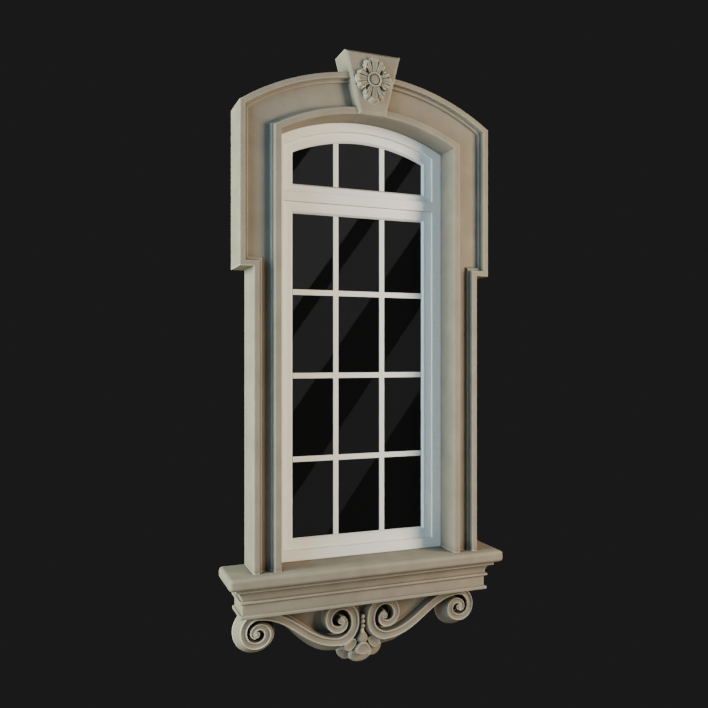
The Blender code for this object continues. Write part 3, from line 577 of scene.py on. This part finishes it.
# %% Make the bed moulding
low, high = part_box("sill_moulding")
top = high.z
FILLET_IN, COVE_IN, BEAD_IN, FRIEZE_IN, FOOT_IN = 0.041, 0.079, 0.0665, 0.0826, 0.0703
COVE_HEIGHT, BEAD_HALF = 0.0513, 0.008
cove_top, bead_middle, frieze_top, foot_top = top - 0.022, top - 0.0813, top - 0.0893, top - 0.1467
cove = []
for a in np.linspace(0, math.pi / 2, 16):
    cove.append((FILLET_IN + (COVE_IN - FILLET_IN) * math.sin(a), cove_top - COVE_HEIGHT * (1 - math.cos(a))))
bead = []
for a in np.linspace(0.2, math.pi - 0.2, 11):
    bead.append((BEAD_IN + BEAD_HALF * (1 - math.sin(a)), bead_middle + BEAD_HALF * math.cos(a)))
upper = rounded([(0.075, top), (FILLET_IN, top), cove[0], cove[2]], [0, 0.003, 0.002, 0])
lower = [(BEAD_IN + BEAD_HALF, frieze_top), (FRIEZE_IN, frieze_top - 0.001), (FRIEZE_IN, foot_top)]
lower += [(FOOT_IN, foot_top - 0.002), (FOOT_IN, low.z), (0.10, low.z)]
lower = rounded(lower, [0, 0.001, 0.003, 0.003, 0.0065, 0], steps=5)
profile = upper + cove[3:] + [(COVE_IN, bead_middle + 0.009)] + bead + lower
points = []
for inset, z in profile:
    x, y = SILL_HALF - inset, -(SILL_DEPTH - inset)
    points += [(-x, 0.0, z), (-x, y, z), (x, y, z), (x, 0.0, z)]
rows = len(profile)
faces = [(4 * r + i, 4 * r + i + 1, 4 * r + i + 5, 4 * r + i + 4) for r in range(rows - 1) for i in range(3)]
faces.append((0, 3, 2, 1))
last = 4 * (rows - 1)
faces.append((last, last + 1, last + 2, last + 3))
faces.append(tuple(range(0, 4 * rows, 4)) + tuple(range(last + 3, 2, -4)))
moulding = link_object("bed_moulding_stone", build_mesh("bed_moulding_stone", points, faces))
finish_piece(moulding, limestone, "limestone", "sill_moulding")

# %% [markdown]
# ## The scroll apron
#
# Two long scrolls hang below the sill, mirror images of each other. Each is one ribbon: it starts as a
# tight coil at the outside, swings down in a long curve and coils up again beside the middle. The ribbon
# has two raised rims with a shallow channel between them, and its outer side flares to the back, so the
# scroll is wider against the wall than in front. The path is three stretches joined end to end, a coil,
# a Bezier curve and a coil. A row of a coil's table is a turn, a share of the coil's radius and a share
# of the band's half width. A row of the flare's table is a turn and a share of the flare.

# %% Lay out the ribbon's path
low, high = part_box("scroll_apron")
APRON_TOP = high.z
SCROLL_DEPTH = 0.083
BAND_HALF = 0.021
FLARE = 0.050
OUTER_RADIUS, INNER_RADIUS = 0.088, 0.118
OUTER_COIL = ((1.45, 0.15, 0.45), (1.25, 0.21, 0.69), (1.0, 0.41, 0.68), (0.75, 0.68, 0.87))
OUTER_COIL += ((0.5, 0.67, 0.84), (0.25, 0.79, 0.86), (0.0, 1.07, 0.98))
OUTER_FLARE = ((0.0, 0.2), (0.25, 0.5), (0.5, 0.86), (0.75, 0.8), (0.95, 0.1))
INNER_COIL = ((0.0, 0.95, 1.12), (0.25, 0.70, 1.08), (0.5, 0.72, 1.1), (0.75, 0.59, 0.84))
INNER_COIL += ((1.0, 0.375, 0.88), (1.25, 0.20, 0.55), (1.5, 0.15, 0.45))
outer_centre = Vector((SILL_HALF - 0.183, APRON_TOP - 0.1258))
inner_centre = Vector((0.1305, APRON_TOP - 0.1146))
TURN_STEPS = 48


def smooth_value(stations, at):
    """A smooth curve through (place, value) stations, by Catmull and Rom's rule."""
    last = len(stations) - 1
    k = max(0, min(last - 1, sum(1 for place, value in stations[1:] if place <= at)))
    p0, p1 = stations[max(k - 1, 0)], stations[k]
    p2, p3 = stations[k + 1], stations[min(k + 2, last)]
    t = (at - p1[0]) / (p2[0] - p1[0])
    slope1 = (p2[1] - p0[1]) / (p2[0] - p0[0]) * (p2[0] - p1[0])
    slope2 = (p3[1] - p1[1]) / (p3[0] - p1[0]) * (p2[0] - p1[0])
    a = 2 * p1[1] - 2 * p2[1] + slope1 + slope2
    b = -3 * p1[1] + 3 * p2[1] - 2 * slope1 - slope2
    return a * t**3 + b * t**2 + slope1 * t + p1[1]


def coil(stations, centre, radius, way, upward):
    """(place, half width) along a coil, with way and upward the signs of its two directions."""
    first, last = stations[0][0], stations[-1][0]
    steps = round(abs(last - first) * TURN_STEPS)
    rule = stations if last > first else stations[::-1]
    found = []
    for i in range(steps + 1):
        at = first + (last - first) * i / steps
        out = radius * smooth_value([(s[0], s[1]) for s in rule], at)
        half = BAND_HALF * smooth_value([(s[0], s[2]) for s in rule], at)
        swing = 2 * math.pi * at
        found.append((centre + Vector((way * math.sin(swing), upward * math.cos(swing))) * out, half, at))
    return found


outer = coil(OUTER_COIL, outer_centre, OUTER_RADIUS, 1, 1)
inner = coil(INNER_COIL, inner_centre, INNER_RADIUS, -1, -1)
start, end = outer[-1][0], inner[0][0]
pull = 0.43 * (start.x - end.x)
handles = (Vector((start.x - pull, start.y)), Vector((end.x + pull, end.y)))
curve = interpolate_bezier(start.to_3d(), handles[0].to_3d(), handles[1].to_3d(), end.to_3d(), 45)
sweep = [Vector((point.x, point.y)) for point in curve[1:-1]]
slim = 0.10 * FLARE
stations = []
for place, half, at in outer:
    swell = smooth_value(OUTER_FLARE, at) if at < OUTER_FLARE[-1][0] else 0.0
    stations.append((place, half, slim, slim + (FLARE - slim) * swell))
for k, place in enumerate(sweep):
    share = min(1.0, max(0.0, (k / 3 - 4.0) / 8.5))
    stations.append((place, BAND_HALF, slim + (FLARE - slim) * share, slim))
for place, half, at in inner:
    share = max(0.0, min(1.0, (0.45 - at) / 0.2))
    stations.append((place, half, slim + (FLARE - slim) * share, slim))
length = sum((a[0] - b[0]).length for a, b in zip(stations, stations[1:]))
print(f"ribbon: {len(stations)} stations, {length:.2f} m long")

# %% [markdown]
# The ribbon's section is drawn for a half width of 1: two round rims, a dished channel, and sides that
# run back to the wall. It is swept square to the path at every station.

# %% Sweep the ribbon
CHANNEL_SIDE = ((0.97, 0.13), (0.92, 0.04), (0.84, 0.0), (0.76, 0.03), (0.69, 0.14))
CHANNEL_SIDE += ((0.60, 0.29), (0.44, 0.40), (0.22, 0.45))
CHANNEL = [(-out, sink) for out, sink in CHANNEL_SIDE] + [(0.0, 0.46)] + list(reversed(CHANNEL_SIDE))
SIDE = ((1.0, 0.0), (0.62, 0.3), (0.22, 0.7))
SHOULDER = 0.22
points = []
for k, (place, half, left, right) in enumerate(stations):
    ahead = stations[min(k + 1, len(stations) - 1)][0]
    behind = stations[max(k - 1, 0)][0]
    along = (ahead - behind).normalized()
    across = Vector((along.y, -along.x))
    shoulder = SCROLL_DEPTH - SHOULDER * half
    section = [(-half - flare * left, front * SCROLL_DEPTH) for flare, front in SIDE]
    section += [(-half, shoulder)]
    section += [(u * half, SCROLL_DEPTH - sink * half) for u, sink in CHANNEL]
    section += [(half, shoulder)]
    section += [(half + flare * right, front * SCROLL_DEPTH) for flare, front in reversed(SIDE)]
    points += [((place + across * out).x, -front, (place + across * out).y) for out, front in section]
ribbon = build_mesh("ribbon", points, tube_faces(len(section), len(stations)))
print("ribbon:", len(ribbon.polygons), "faces")

# %% [markdown]
# Each coil ends in an eye, a small dome in a ring, and has a round plate behind it. Both are turned
# shapes: rings of points at stated radii and heights.


# %% Turned shapes for the eyes and the grounds
def circle(sides):
    """(sine, cosine) of each point's turn, all the way round."""
    return [(math.sin(2 * math.pi * i / sides), math.cos(2 * math.pi * i / sides)) for i in range(sides)]


def turned(name, centre, rings, sides=48):
    """Rings of (radius, distance in front of the wall) round a point of the wall's plane."""
    points = []
    for out, front in rings:
        points += [(centre[0] + out * s, -front, centre[1] + out * c) for s, c in circle(sides)]
    return build_mesh(name, points, tube_faces(sides, len(rings)))


def eye_rings(radius):
    front = SCROLL_DEPTH
    rings = [(radius, 0.0), (radius, front - 0.008), (0.95 * radius, front - 0.003), (0.82 * radius, front)]
    rings += [(0.70 * radius, front - 0.001), (0.62 * radius, front - 0.003), (0.52 * radius, front - 0.0025)]
    return rings + [(0.42 * radius, front), (0.28 * radius, front + 0.0015), (0.10 * radius, front + 0.002)]


half_scroll = [ribbon]
half_scroll.append(turned("outer_ground", outer_centre, [(0.0704, 0.0), (0.0704, 0.021), (0.068, 0.022)]))
half_scroll.append(turned("outer_eye", outer_centre, eye_rings(0.0185)))
half_scroll.append(turned("inner_eye", inner_centre, eye_rings(0.017)))

# %% [markdown]
# Between the scrolls lies a flat ground. In front of it, on the middle line, hang a string of beads, a
# small bell and a three-lobed shell. The beads are what repeats, so they come from a Geometry Nodes
# tree: a line of points, a small ball on each, realised and given its stone.


# %% Beads by Geometry Nodes
def new_tree(name, sizes):
    """A tree with a named input for each size, the inputs' identifiers, and the sockets that carry them."""
    tree = bpy.data.node_groups.new(name, "GeometryNodeTree")
    tree.interface.new_socket("Geometry", in_out="OUTPUT", socket_type="NodeSocketGeometry")
    ids = {}
    for size, (kind, value) in sizes.items():
        made = tree.interface.new_socket(size, in_out="INPUT", socket_type=kind)
        made.default_value = value
        ids[size] = made.identifier
    return tree, ids, add_node(tree, "NodeGroupInput").outputs


def copies_on_points(tree, line, shape, material):
    """Ends a tree: a real copy of the shape on each point of the line, all of one material."""
    values = {"Points": line.outputs["Mesh"], "Instance": shape.outputs["Mesh"]}
    placed = add_node(tree, "GeometryNodeInstanceOnPoints", values)
    real = add_node(tree, "GeometryNodeRealizeInstances", {0: placed.outputs["Instances"]})
    values = {"Geometry": real.outputs[0], "Material": material}
    dressed = add_node(tree, "GeometryNodeSetMaterial", values)
    add_node(tree, "NodeGroupOutput", {"Geometry": dressed.outputs["Geometry"]})


BEAD_COUNT, BEAD_PITCH, BEAD_RADIUS = 3, 0.026, 0.0122
bead_sizes = {"Count": ("NodeSocketInt", BEAD_COUNT), "Pitch": ("NodeSocketFloat", BEAD_PITCH)}
bead_sizes["Radius"] = ("NodeSocketFloat", BEAD_RADIUS)
bead_tree, bead_ids, given = new_tree("bead_string", bead_sizes)
step = add_node(bead_tree, "ShaderNodeMath", {0: given["Pitch"], 1: -1.0}, operation="MULTIPLY")
offset = add_node(bead_tree, "ShaderNodeCombineXYZ", {"Z": step.outputs["Value"]})
spacing = {"Count": given["Count"], "Offset": offset.outputs["Vector"]}
line = add_node(bead_tree, "GeometryNodeMeshLine", spacing)
roundness = {"Segments": 32, "Rings": 20, "Radius": given["Radius"]}
ball = add_node(bead_tree, "GeometryNodeMeshUVSphere", roundness)
copies_on_points(bead_tree, line, ball, limestone)
print("bead tree:", len(bead_tree.nodes), "nodes")


# %% Grow the beads
def grown_mesh(tree, ids, values):
    """The mesh that a Geometry Nodes tree makes from these values of its inputs."""
    carrier = link_object("carrier", bpy.data.meshes.new("carrier"))
    grown = carrier.modifiers.new("grown", "NODES")
    grown.node_group = tree
    for name, value in values.items():
        grown[ids[name]] = value
    mesh = plain_copy(carrier).data.copy()
    bpy.data.objects.remove(carrier)
    return mesh


beads = grown_mesh(bead_tree, bead_ids, {"Count": BEAD_COUNT, "Pitch": BEAD_PITCH, "Radius": BEAD_RADIUS})
beads.transform(Matrix.Translation((0.0, BEAD_RADIUS - SCROLL_DEPTH, APRON_TOP - 0.107)))
print("beads:", len(beads.polygons), "faces")


# %% The ground, the stem and the bell
edge_line = [outer[-2][0], outer[-1][0]] + sweep + [inner[0][0], inner[6][0]]
right_side = [(p.x, p.y) for p in edge_line]
left_side = [(-x, z) for x, z in reversed(right_side)]
outline = [(right_side[0][0], APRON_TOP)] + right_side + left_side + [(-right_side[0][0], APRON_TOP)]
ground = prism("ground", outline, 0.022)
STEM_HALF = 0.004
stem_low, stem_high = APRON_TOP - 0.2805, APRON_TOP - 0.103
outline = [(-STEM_HALF, stem_low), (STEM_HALF, stem_low), (STEM_HALF, stem_high), (-STEM_HALF, stem_high)]
stem = prism("stem", outline, SCROLL_DEPTH - 0.018)


def hanging(name, top, length, radius, flat, front, outline, sides=40):
    """A turned drop on a vertical line: outline is (share of the length, share of the radius)."""
    points = []
    for down, out in outline:
        points += [(radius * out * s, -front - flat * out * c, top - down * length) for s, c in circle(sides)]
    return build_mesh(name, points, tube_faces(sides, len(outline)))


bell_line = [(0.0, 0.20), (0.05, 0.30), (0.13, 0.38), (0.22, 0.42), (0.30, 0.52), (0.40, 0.70), (0.50, 0.85)]
bell_line += [(0.62, 0.96), (0.73, 1.0), (0.82, 0.98), (0.90, 0.88), (0.96, 0.70), (1.0, 0.45)]
bell = hanging("bell", APRON_TOP - 0.1725, 0.080, 0.033, 0.027, 0.058, bell_line)
print("ground, stem and bell:", [len(mesh.polygons) for mesh in (ground, stem, bell)], "faces")

# %% [markdown]
# A lobe of the shell is a rounded tongue built of rings. Each ring has a size, a distance from the wall
# as a share of the front's, a distance set back from the front, and a share of the flare. The tongue is
# wide against the wall, steps in to a neck and ends in a raised rim round a dished face.

# %% The shell
SHELL_FLARE, SHELL_SINK = 0.024, 0.035
SHELL_RINGS = [(1.0, 0.0, 0, 1.0), (1.0, 0.22, 0, 0.97), (1.0, 0.28, 0, 0.88), (0.97, 0.32, 0, 0.70)]
SHELL_RINGS += [(0.93, 0.36, 0, 0.42), (0.90, 0.44, 0, 0.25), (0.90, 0.56, 0, 0.12), (0.95, 0.68, 0, 0.04)]
SHELL_RINGS += [(1.0, 0.78, 0, 0.0), (1.0, 0.86, 0, 0.0), (0.96, 1, 0.006, 0.0), (0.90, 1, 0.0015, 0.0)]
SHELL_RINGS += [(0.83, 1, 0, 0.0), (0.75, 1, 0.001, 0.0), (0.64, 1, 0.004, 0.0), (0.45, 1, 0.006, 0.0)]
SHELL_RINGS += [(0.20, 1, 0.006, 0.0)]


def shell_lobe(name, root, swing, length, width, front, sides=72):
    """A lobe that hangs from root, swung to the side."""
    points = []
    for size, share, back, flared in SHELL_RINGS:
        for s, c in circle(sides):
            across = s * width / 2 * (1.0 - 0.28 * c) * size + flared * SHELL_FLARE * s
            down = length / 2 - c * length / 2 * size - flared * SHELL_FLARE * c
            x = root[0] + across * math.cos(swing) + down * math.sin(swing)
            z = root[1] + across * math.sin(swing) - down * math.cos(swing) - SHELL_SINK * flared
            points.append((x, back - share * front, z))
    return build_mesh(name, points, tube_faces(sides, len(SHELL_RINGS)))


root = (0.0, APRON_TOP - 0.243)
shell = [shell_lobe("shell_middle", root, 0.0, 0.0745, 0.088, SCROLL_DEPTH)]
for way in (-1, 1):
    side_root, swing = (root[0] + way * 0.030, root[1] + 0.008), way * math.radians(62.0)
    shell.append(shell_lobe("shell_side", side_root, swing, 0.086, 0.064, SCROLL_DEPTH - 0.018))
print("shell:", sum(len(mesh.polygons) for mesh in shell), "faces")

# %% Join the apron
def flipped(mesh):
    """The mesh's mirror image, left for right."""
    made = mesh.copy()
    made.transform(Matrix.Diagonal((-1.0, 1.0, 1.0, 1.0)))
    made.flip_normals()
    return made


both_halves = [made for mesh in half_scroll for made in (mesh, flipped(mesh))]
apron_meshes = both_halves + [ground, stem, bell, beads] + shell
apron = link_object("scroll_apron_stone", joined("scroll_apron_stone", apron_meshes))
finish_piece(apron, limestone, "limestone", "scroll_apron", angle=45.0)

# %% [markdown]
# ## The window frame
#
# The frame is a slab of joinery with a hole for each light and a transom between them. A Boolean cuts
# the holes and a bevel of just over a millimetre takes the sharpness off, as paint and sandpaper do.
# Each face is marked as upright or level, for the brush lines.


# %% Mark upright and level members, and make the frame
def mark_level(mesh, test):
    """Writes the "level" attribute: 1 on faces whose middle passes the test."""
    marks = mesh.attributes.new("level", "FLOAT", "FACE")
    marks.data.foreach_set("value", [1.0 if test(face.center) else 0.0 for face in mesh.polygons])


def soften(piece, width, segments=3):
    edges = piece.modifiers.new("soft_edges", "BEVEL")
    edges.width, edges.segments, edges.limit_method = width, segments, "ANGLE"
    edges.angle_limit = math.radians(30)
    edges.miter_outer = "MITER_ARC"


low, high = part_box("window_frame")
FRAME_HALF, FRAME_DEPTH, FRAME_FOOT = high.x, -low.y, low.z
FRAME_RADIUS = high.z - ARCH_CENTRE
lower_low, lower_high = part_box("lower_sash")
upper_low, upper_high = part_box("upper_sash")
SASH_HALF = lower_high.x
FRAME_SIGHT = SASH_HALF + GAP
FRAME_SIGHT_RADIUS = FRAME_RADIUS - 0.049
TRANSOM = (lower_high.z + GAP, upper_low.z - GAP)


def arched(half, radius, bottom):
    return [(-half, bottom)] + arch_points(half, radius) + [(half, bottom)]


slab = prism("window_frame_paint", arched(FRAME_HALF, FRAME_RADIUS, FRAME_FOOT), FRAME_DEPTH)
window = link_object("window_frame_paint", slab)
foot = lower_low.z - GAP
square = [(-FRAME_SIGHT, foot), (FRAME_SIGHT, foot), (FRAME_SIGHT, TRANSOM[0]), (-FRAME_SIGHT, TRANSOM[0])]
holes = [square, arched(FRAME_SIGHT, FRAME_SIGHT_RADIUS, TRANSOM[1])]
cutters = [link_object(f"hole_{k}", prism(f"hole_{k}", hole, 0.1, -0.1)) for k, hole in enumerate(holes)]
for cutter in cutters:
    cut = window.modifiers.new(cutter.name, "BOOLEAN")
    cut.operation, cut.solver, cut.object = "DIFFERENCE", "EXACT", cutter
soften(window, 0.0014)
plain_copy(window)
for cutter in cutters:
    bpy.data.objects.remove(cutter)
mark_level(
    window.data,
    lambda c: abs(c.x) < FRAME_SIGHT + 0.002 and (c.z < foot + 0.01 or c.z > TRANSOM[0] - 0.01),
)
finish_piece(window, paint, "white_paint", "window_frame")

# %% [markdown]
# ## The sashes
#
# Each sash is a ring with the same section all round: a flat face, a chamfer down to the glass, and a
# rebate behind it. The section is a list of insets, and each inset gives one closed loop, square for the
# lower sash and arched for the upper one.

# %% Make the two sashes
SASH_DEPTH, GLASS_SEAT, STILE, CHAMFER, REBATE = 0.027, 0.0103, 0.046, 0.010, 0.008


def square_loop(inset, rise):
    half, bottom, top = SASH_HALF - inset, lower_low.z + rise, lower_high.z - rise
    return [(-half, bottom), (half, bottom), (half, top), (-half, top)]


def arched_loop(inset, rise):
    half, bottom = SASH_HALF - inset, upper_low.z + rise
    return [(-half, bottom)] + arch_points(half, FRAME_SIGHT_RADIUS - GAP - inset) + [(half, bottom)]


def sash_mesh(name, loop, rail):
    section = [(0.0, 0.0), (0.0, SASH_DEPTH), (STILE, SASH_DEPTH), (STILE + CHAMFER, GLASS_SEAT)]
    section += [(STILE + CHAMFER - REBATE, GLASS_SEAT), (STILE + CHAMFER - REBATE, 0.0)]
    points = []
    for inset, front in section:
        line = loop(inset, inset + (rail - STILE if inset > 0 else 0.0))
        points += [(x, -front, z) for x, z in line]
    count, faces = len(line), []
    for k in range(len(section)):
        faces += strip_faces(count * k, count * ((k + 1) % len(section)), count, closed=True)
    return build_mesh(name, points, faces)


for node, loop, rail, bottom, top in (
    ("lower_sash", square_loop, 0.052, lower_low.z + 0.07, lower_high.z - 0.07),
    ("upper_sash", arched_loop, 0.036, upper_low.z + 0.07, upper_high.z - 0.10),
):
    sash = link_object(node + "_paint", sash_mesh(node + "_paint", loop, rail))
    soften(sash, 0.0011)
    plain_copy(sash)
    mark_level(sash.data, lambda c: abs(c.x) < SASH_HALF - 0.03 and not bottom <= c.z <= top)
    finish_piece(sash, paint, "white_paint", node)

# %% [markdown]
# ## The glazing bars
#
# The lower light is parted into panes by two upright and three level bars, a pattern that repeats, so
# Geometry Nodes make it: two lines of points, one for the uprights and one for the level bars, with a
# softened bar set on each point. Every size is an input of the tree.

# %% Build the glazing-bar tree
bar_sizes = {
    "Count": ("NodeSocketInt", 2),
    "First": ("NodeSocketVector", (0.0, 0.0, 0.0)),
    "Step": ("NodeSocketVector", (0.1, 0.0, 0.0)),
    "Size": ("NodeSocketVector", (0.03, 0.005, 1.0)),
}
bar_tree, bar_ids, given = new_tree("glazing_bars", bar_sizes)
spacing = {"Count": given["Count"], "Start Location": given["First"], "Offset": given["Step"]}
line = add_node(bar_tree, "GeometryNodeMeshLine", spacing)
bar = add_node(bar_tree, "GeometryNodeMeshCube", {"Size": given["Size"]})
copies_on_points(bar_tree, line, bar, paint)
print("bar tree:", len(bar_tree.nodes), "nodes")


def grown_bars(count, first, step, size):
    """The mesh of one row of bars."""
    return grown_mesh(bar_tree, bar_ids, {"Count": count, "First": first, "Step": step, "Size": size})


# %% Set out the bars
BAR_WIDTH, BAR_SETOUT = 0.030, 0.028
low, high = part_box("lower_glazing_bars")
bar_depth, bar_middle = high.y - low.y, (high.y + low.y) / 2
half_light = high.x + GAP
pitch_x = 2 * (half_light + BAR_SETOUT) / 3
pitch_z = (high.z - low.z + 2 * GAP + 2 * BAR_SETOUT) / 4
first_x = -half_light - BAR_SETOUT + pitch_x
first_z = low.z - GAP - BAR_SETOUT + pitch_z
size = (BAR_WIDTH, bar_depth, high.z - low.z)
uprights = grown_bars(2, (first_x, bar_middle, (low.z + high.z) / 2), (pitch_x, 0.0, 0.0), size)
size = (2 * high.x, bar_depth - 0.0002, BAR_WIDTH)
level_bars = grown_bars(3, (0.0, bar_middle, first_z), (0.0, 0.0, pitch_z), size)
mark_level(uprights, lambda c: False)
mark_level(level_bars, lambda c: True)
bars = link_object("glazing_bars_paint", joined("glazing_bars_paint", (uprights, level_bars)))
soften(bars, 0.0012)
plain_copy(bars)
finish_piece(bars, paint, "white_paint", "lower_glazing_bars")

# %% [markdown]
# The fanlight has two upright bars. They stand apart from each other, and their tops follow the arch.

# %% Make the two bars of the fanlight
radius = FRAME_SIGHT_RADIUS - 2 * GAP - STILE - CHAMFER
for node in ("upper_glazing_bar_left", "upper_glazing_bar_right"):
    low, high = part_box(node)
    tops = [(e, ARCH_CENTRE + math.sqrt(radius**2 - e**2)) for e in (high.x, low.x)]
    mesh = prism(node + "_paint", [(low.x, low.z), (high.x, low.z)] + tops, -low.y, -high.y)
    piece = link_object(node + "_paint", mesh)
    soften(piece, 0.0012)
    plain_copy(piece)
    mark_level(piece.data, lambda c: False)
    finish_piece(piece, paint, "white_paint", node)

# %% [markdown]
# ## The glass
#
# The two panes are flat sheets in their rebates. Their CAD solids already have the right shape, so they
# stay and only get the glass as their material.

# %% Dress the panes
for node in ("lower_glass", "upper_glass"):
    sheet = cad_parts[node]
    sheet.data.materials.clear()
    sheet.data.materials.append(glass)
    print(f"{node}: {[round(v, 3) for v in sheet.dimensions]} m of glass")

# %% [markdown]
# ## The stage and the light
#
# The object hangs on a wall that isn't part of it, in front of a dark room. A grey floor lies well below
# the scrolls, out of the picture. Two softboxes stand far to the left and rake along the wall, one
# yellowish and one greenish, and brighten every face that looks left. A blue one, a little further from
# the wall, reaches into the reveal and tints the right side of the window. A warm one stands in front to
# the right and gives the flat faces their colour, and a faint one below keeps the undersides from going
# black.

# %% Floor and surroundings
floor_mesh = bpy.data.meshes.new("floor")
FLOOR_HALF, FLOOR_HEIGHT = 2.1, -2.3
corners = [(x * FLOOR_HALF, y * FLOOR_HALF, FLOOR_HEIGHT) for x, y in ((-1, -1), (1, -1), (1, 1), (-1, 1))]
floor_mesh.from_pydata(corners, [], [(0, 1, 2, 3)])
floor = link_object("floor", floor_mesh)
floor_paint, tree, shader = new_material("grey_floor")
shader.inputs["Base Color"].default_value = linear("#77756f")
shader.inputs["Roughness"].default_value = 0.6
floor_mesh.materials.append(floor_paint)

world = bpy.data.worlds.new("dark_room")
world.use_nodes = True
world.node_tree.nodes["Background"].inputs["Color"].default_value = linear("#202020")
world.node_tree.nodes["Background"].inputs["Strength"].default_value = 1.0
bpy.context.scene.world = world
print("floor at", FLOOR_HEIGHT, "m")


# %% Lights
def area_light(name, place, size, power):
    data = bpy.data.lights.new(name, "AREA")
    data.shape, data.size, data.size_y = "RECTANGLE", size[0], size[1]
    data.energy = power
    made = link_object(name, data)
    made.location = place
    return made


def softbox(name, place, target, size, power, colour):
    """A rectangular light at place, facing target."""
    made = area_light(name, place, size, power)
    made.data.color = colour
    made.rotation_euler = (Vector(target) - Vector(place)).to_track_quat("-Z", "Y").to_euler()


softbox("left_glow", (-5.2, -0.9, 1.7), (0.0, -0.1, 1.1), (1.6, 3.4), 335.0, (1.0, 0.91, 0.68))
softbox("left_edge", (-5.2, -0.35, 1.5), (0.0, -0.1, 1.1), (0.7, 3.2), 345.0, (0.80, 1.0, 0.72))
softbox("blue_window", (-4.6, -2.3, 1.9), (0.0, -0.1, 1.1), (2.2, 3.4), 232.0, (0.32, 0.68, 1.0))
softbox("warm_side", (3.6, -3.3, 1.7), (0.0, -0.1, 1.2), (1.6, 2.4), 435.0, (1.0, 0.85, 0.63))
softbox("low_bounce", (-2.2, -2.6, -1.9), (0.0, -0.1, 1.2), (2.5, 2.5), 40.0, (1.0, 0.85, 0.72))

# %% [markdown]
# Three long strips of light behind the camera show only as slanting bands in the panes. They are laid
# out from what the panes mirror: a point of the glass and the camera's mirror image give a line, and
# where that line meets a plane behind the camera is where the light has to be. Each strip has the
# heights of its lower and upper edge on the glass at x = 0, and its brightness.

# %% Strips mirrored in the glass
STRIP_PLANE, SLOPE, STRIP_END = -6.5, 1.37, 1.3
STRIPS = ((0.416, 0.891, 0.35), (1.359, 1.766, 0.50), (1.907, 2.66, 0.75))
glass_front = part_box("lower_glass")[0].y
mirrored = Vector((camera.location.x, 2 * glass_front - camera.location.y, camera.location.z))
growth = (mirrored.y - STRIP_PLANE) / (mirrored.y - glass_front)


def behind_camera(x, z):
    """Where the mirrored line through a point of the glass meets the strips' plane."""
    place = mirrored + growth * (Vector((x, glass_front, z)) - mirrored)
    return Vector((place.x, STRIP_PLANE, place.z))


for k, (lowest, highest, glow) in enumerate(STRIPS):
    middle = (lowest + highest) / 2
    ends = [behind_camera(x, middle + SLOPE * x) for x in (-STRIP_END, STRIP_END)]
    along = (ends[1] - ends[0]).normalized()
    width = growth * (highest - lowest) * math.cos(math.atan(SLOPE))
    length = (ends[1] - ends[0]).length
    power = glow * math.pi * width * length
    strip = area_light(f"strip_{k}", (ends[0] + ends[1]) / 2, (width, length), power)
    strip.rotation_euler = (math.radians(90.0), math.atan2(along.x, along.z), 0.0)
    strip.visible_diffuse = False
    print(f"strip {k}: {width:.2f} x {length:.2f} m at {[round(v, 2) for v in strip.location]}")
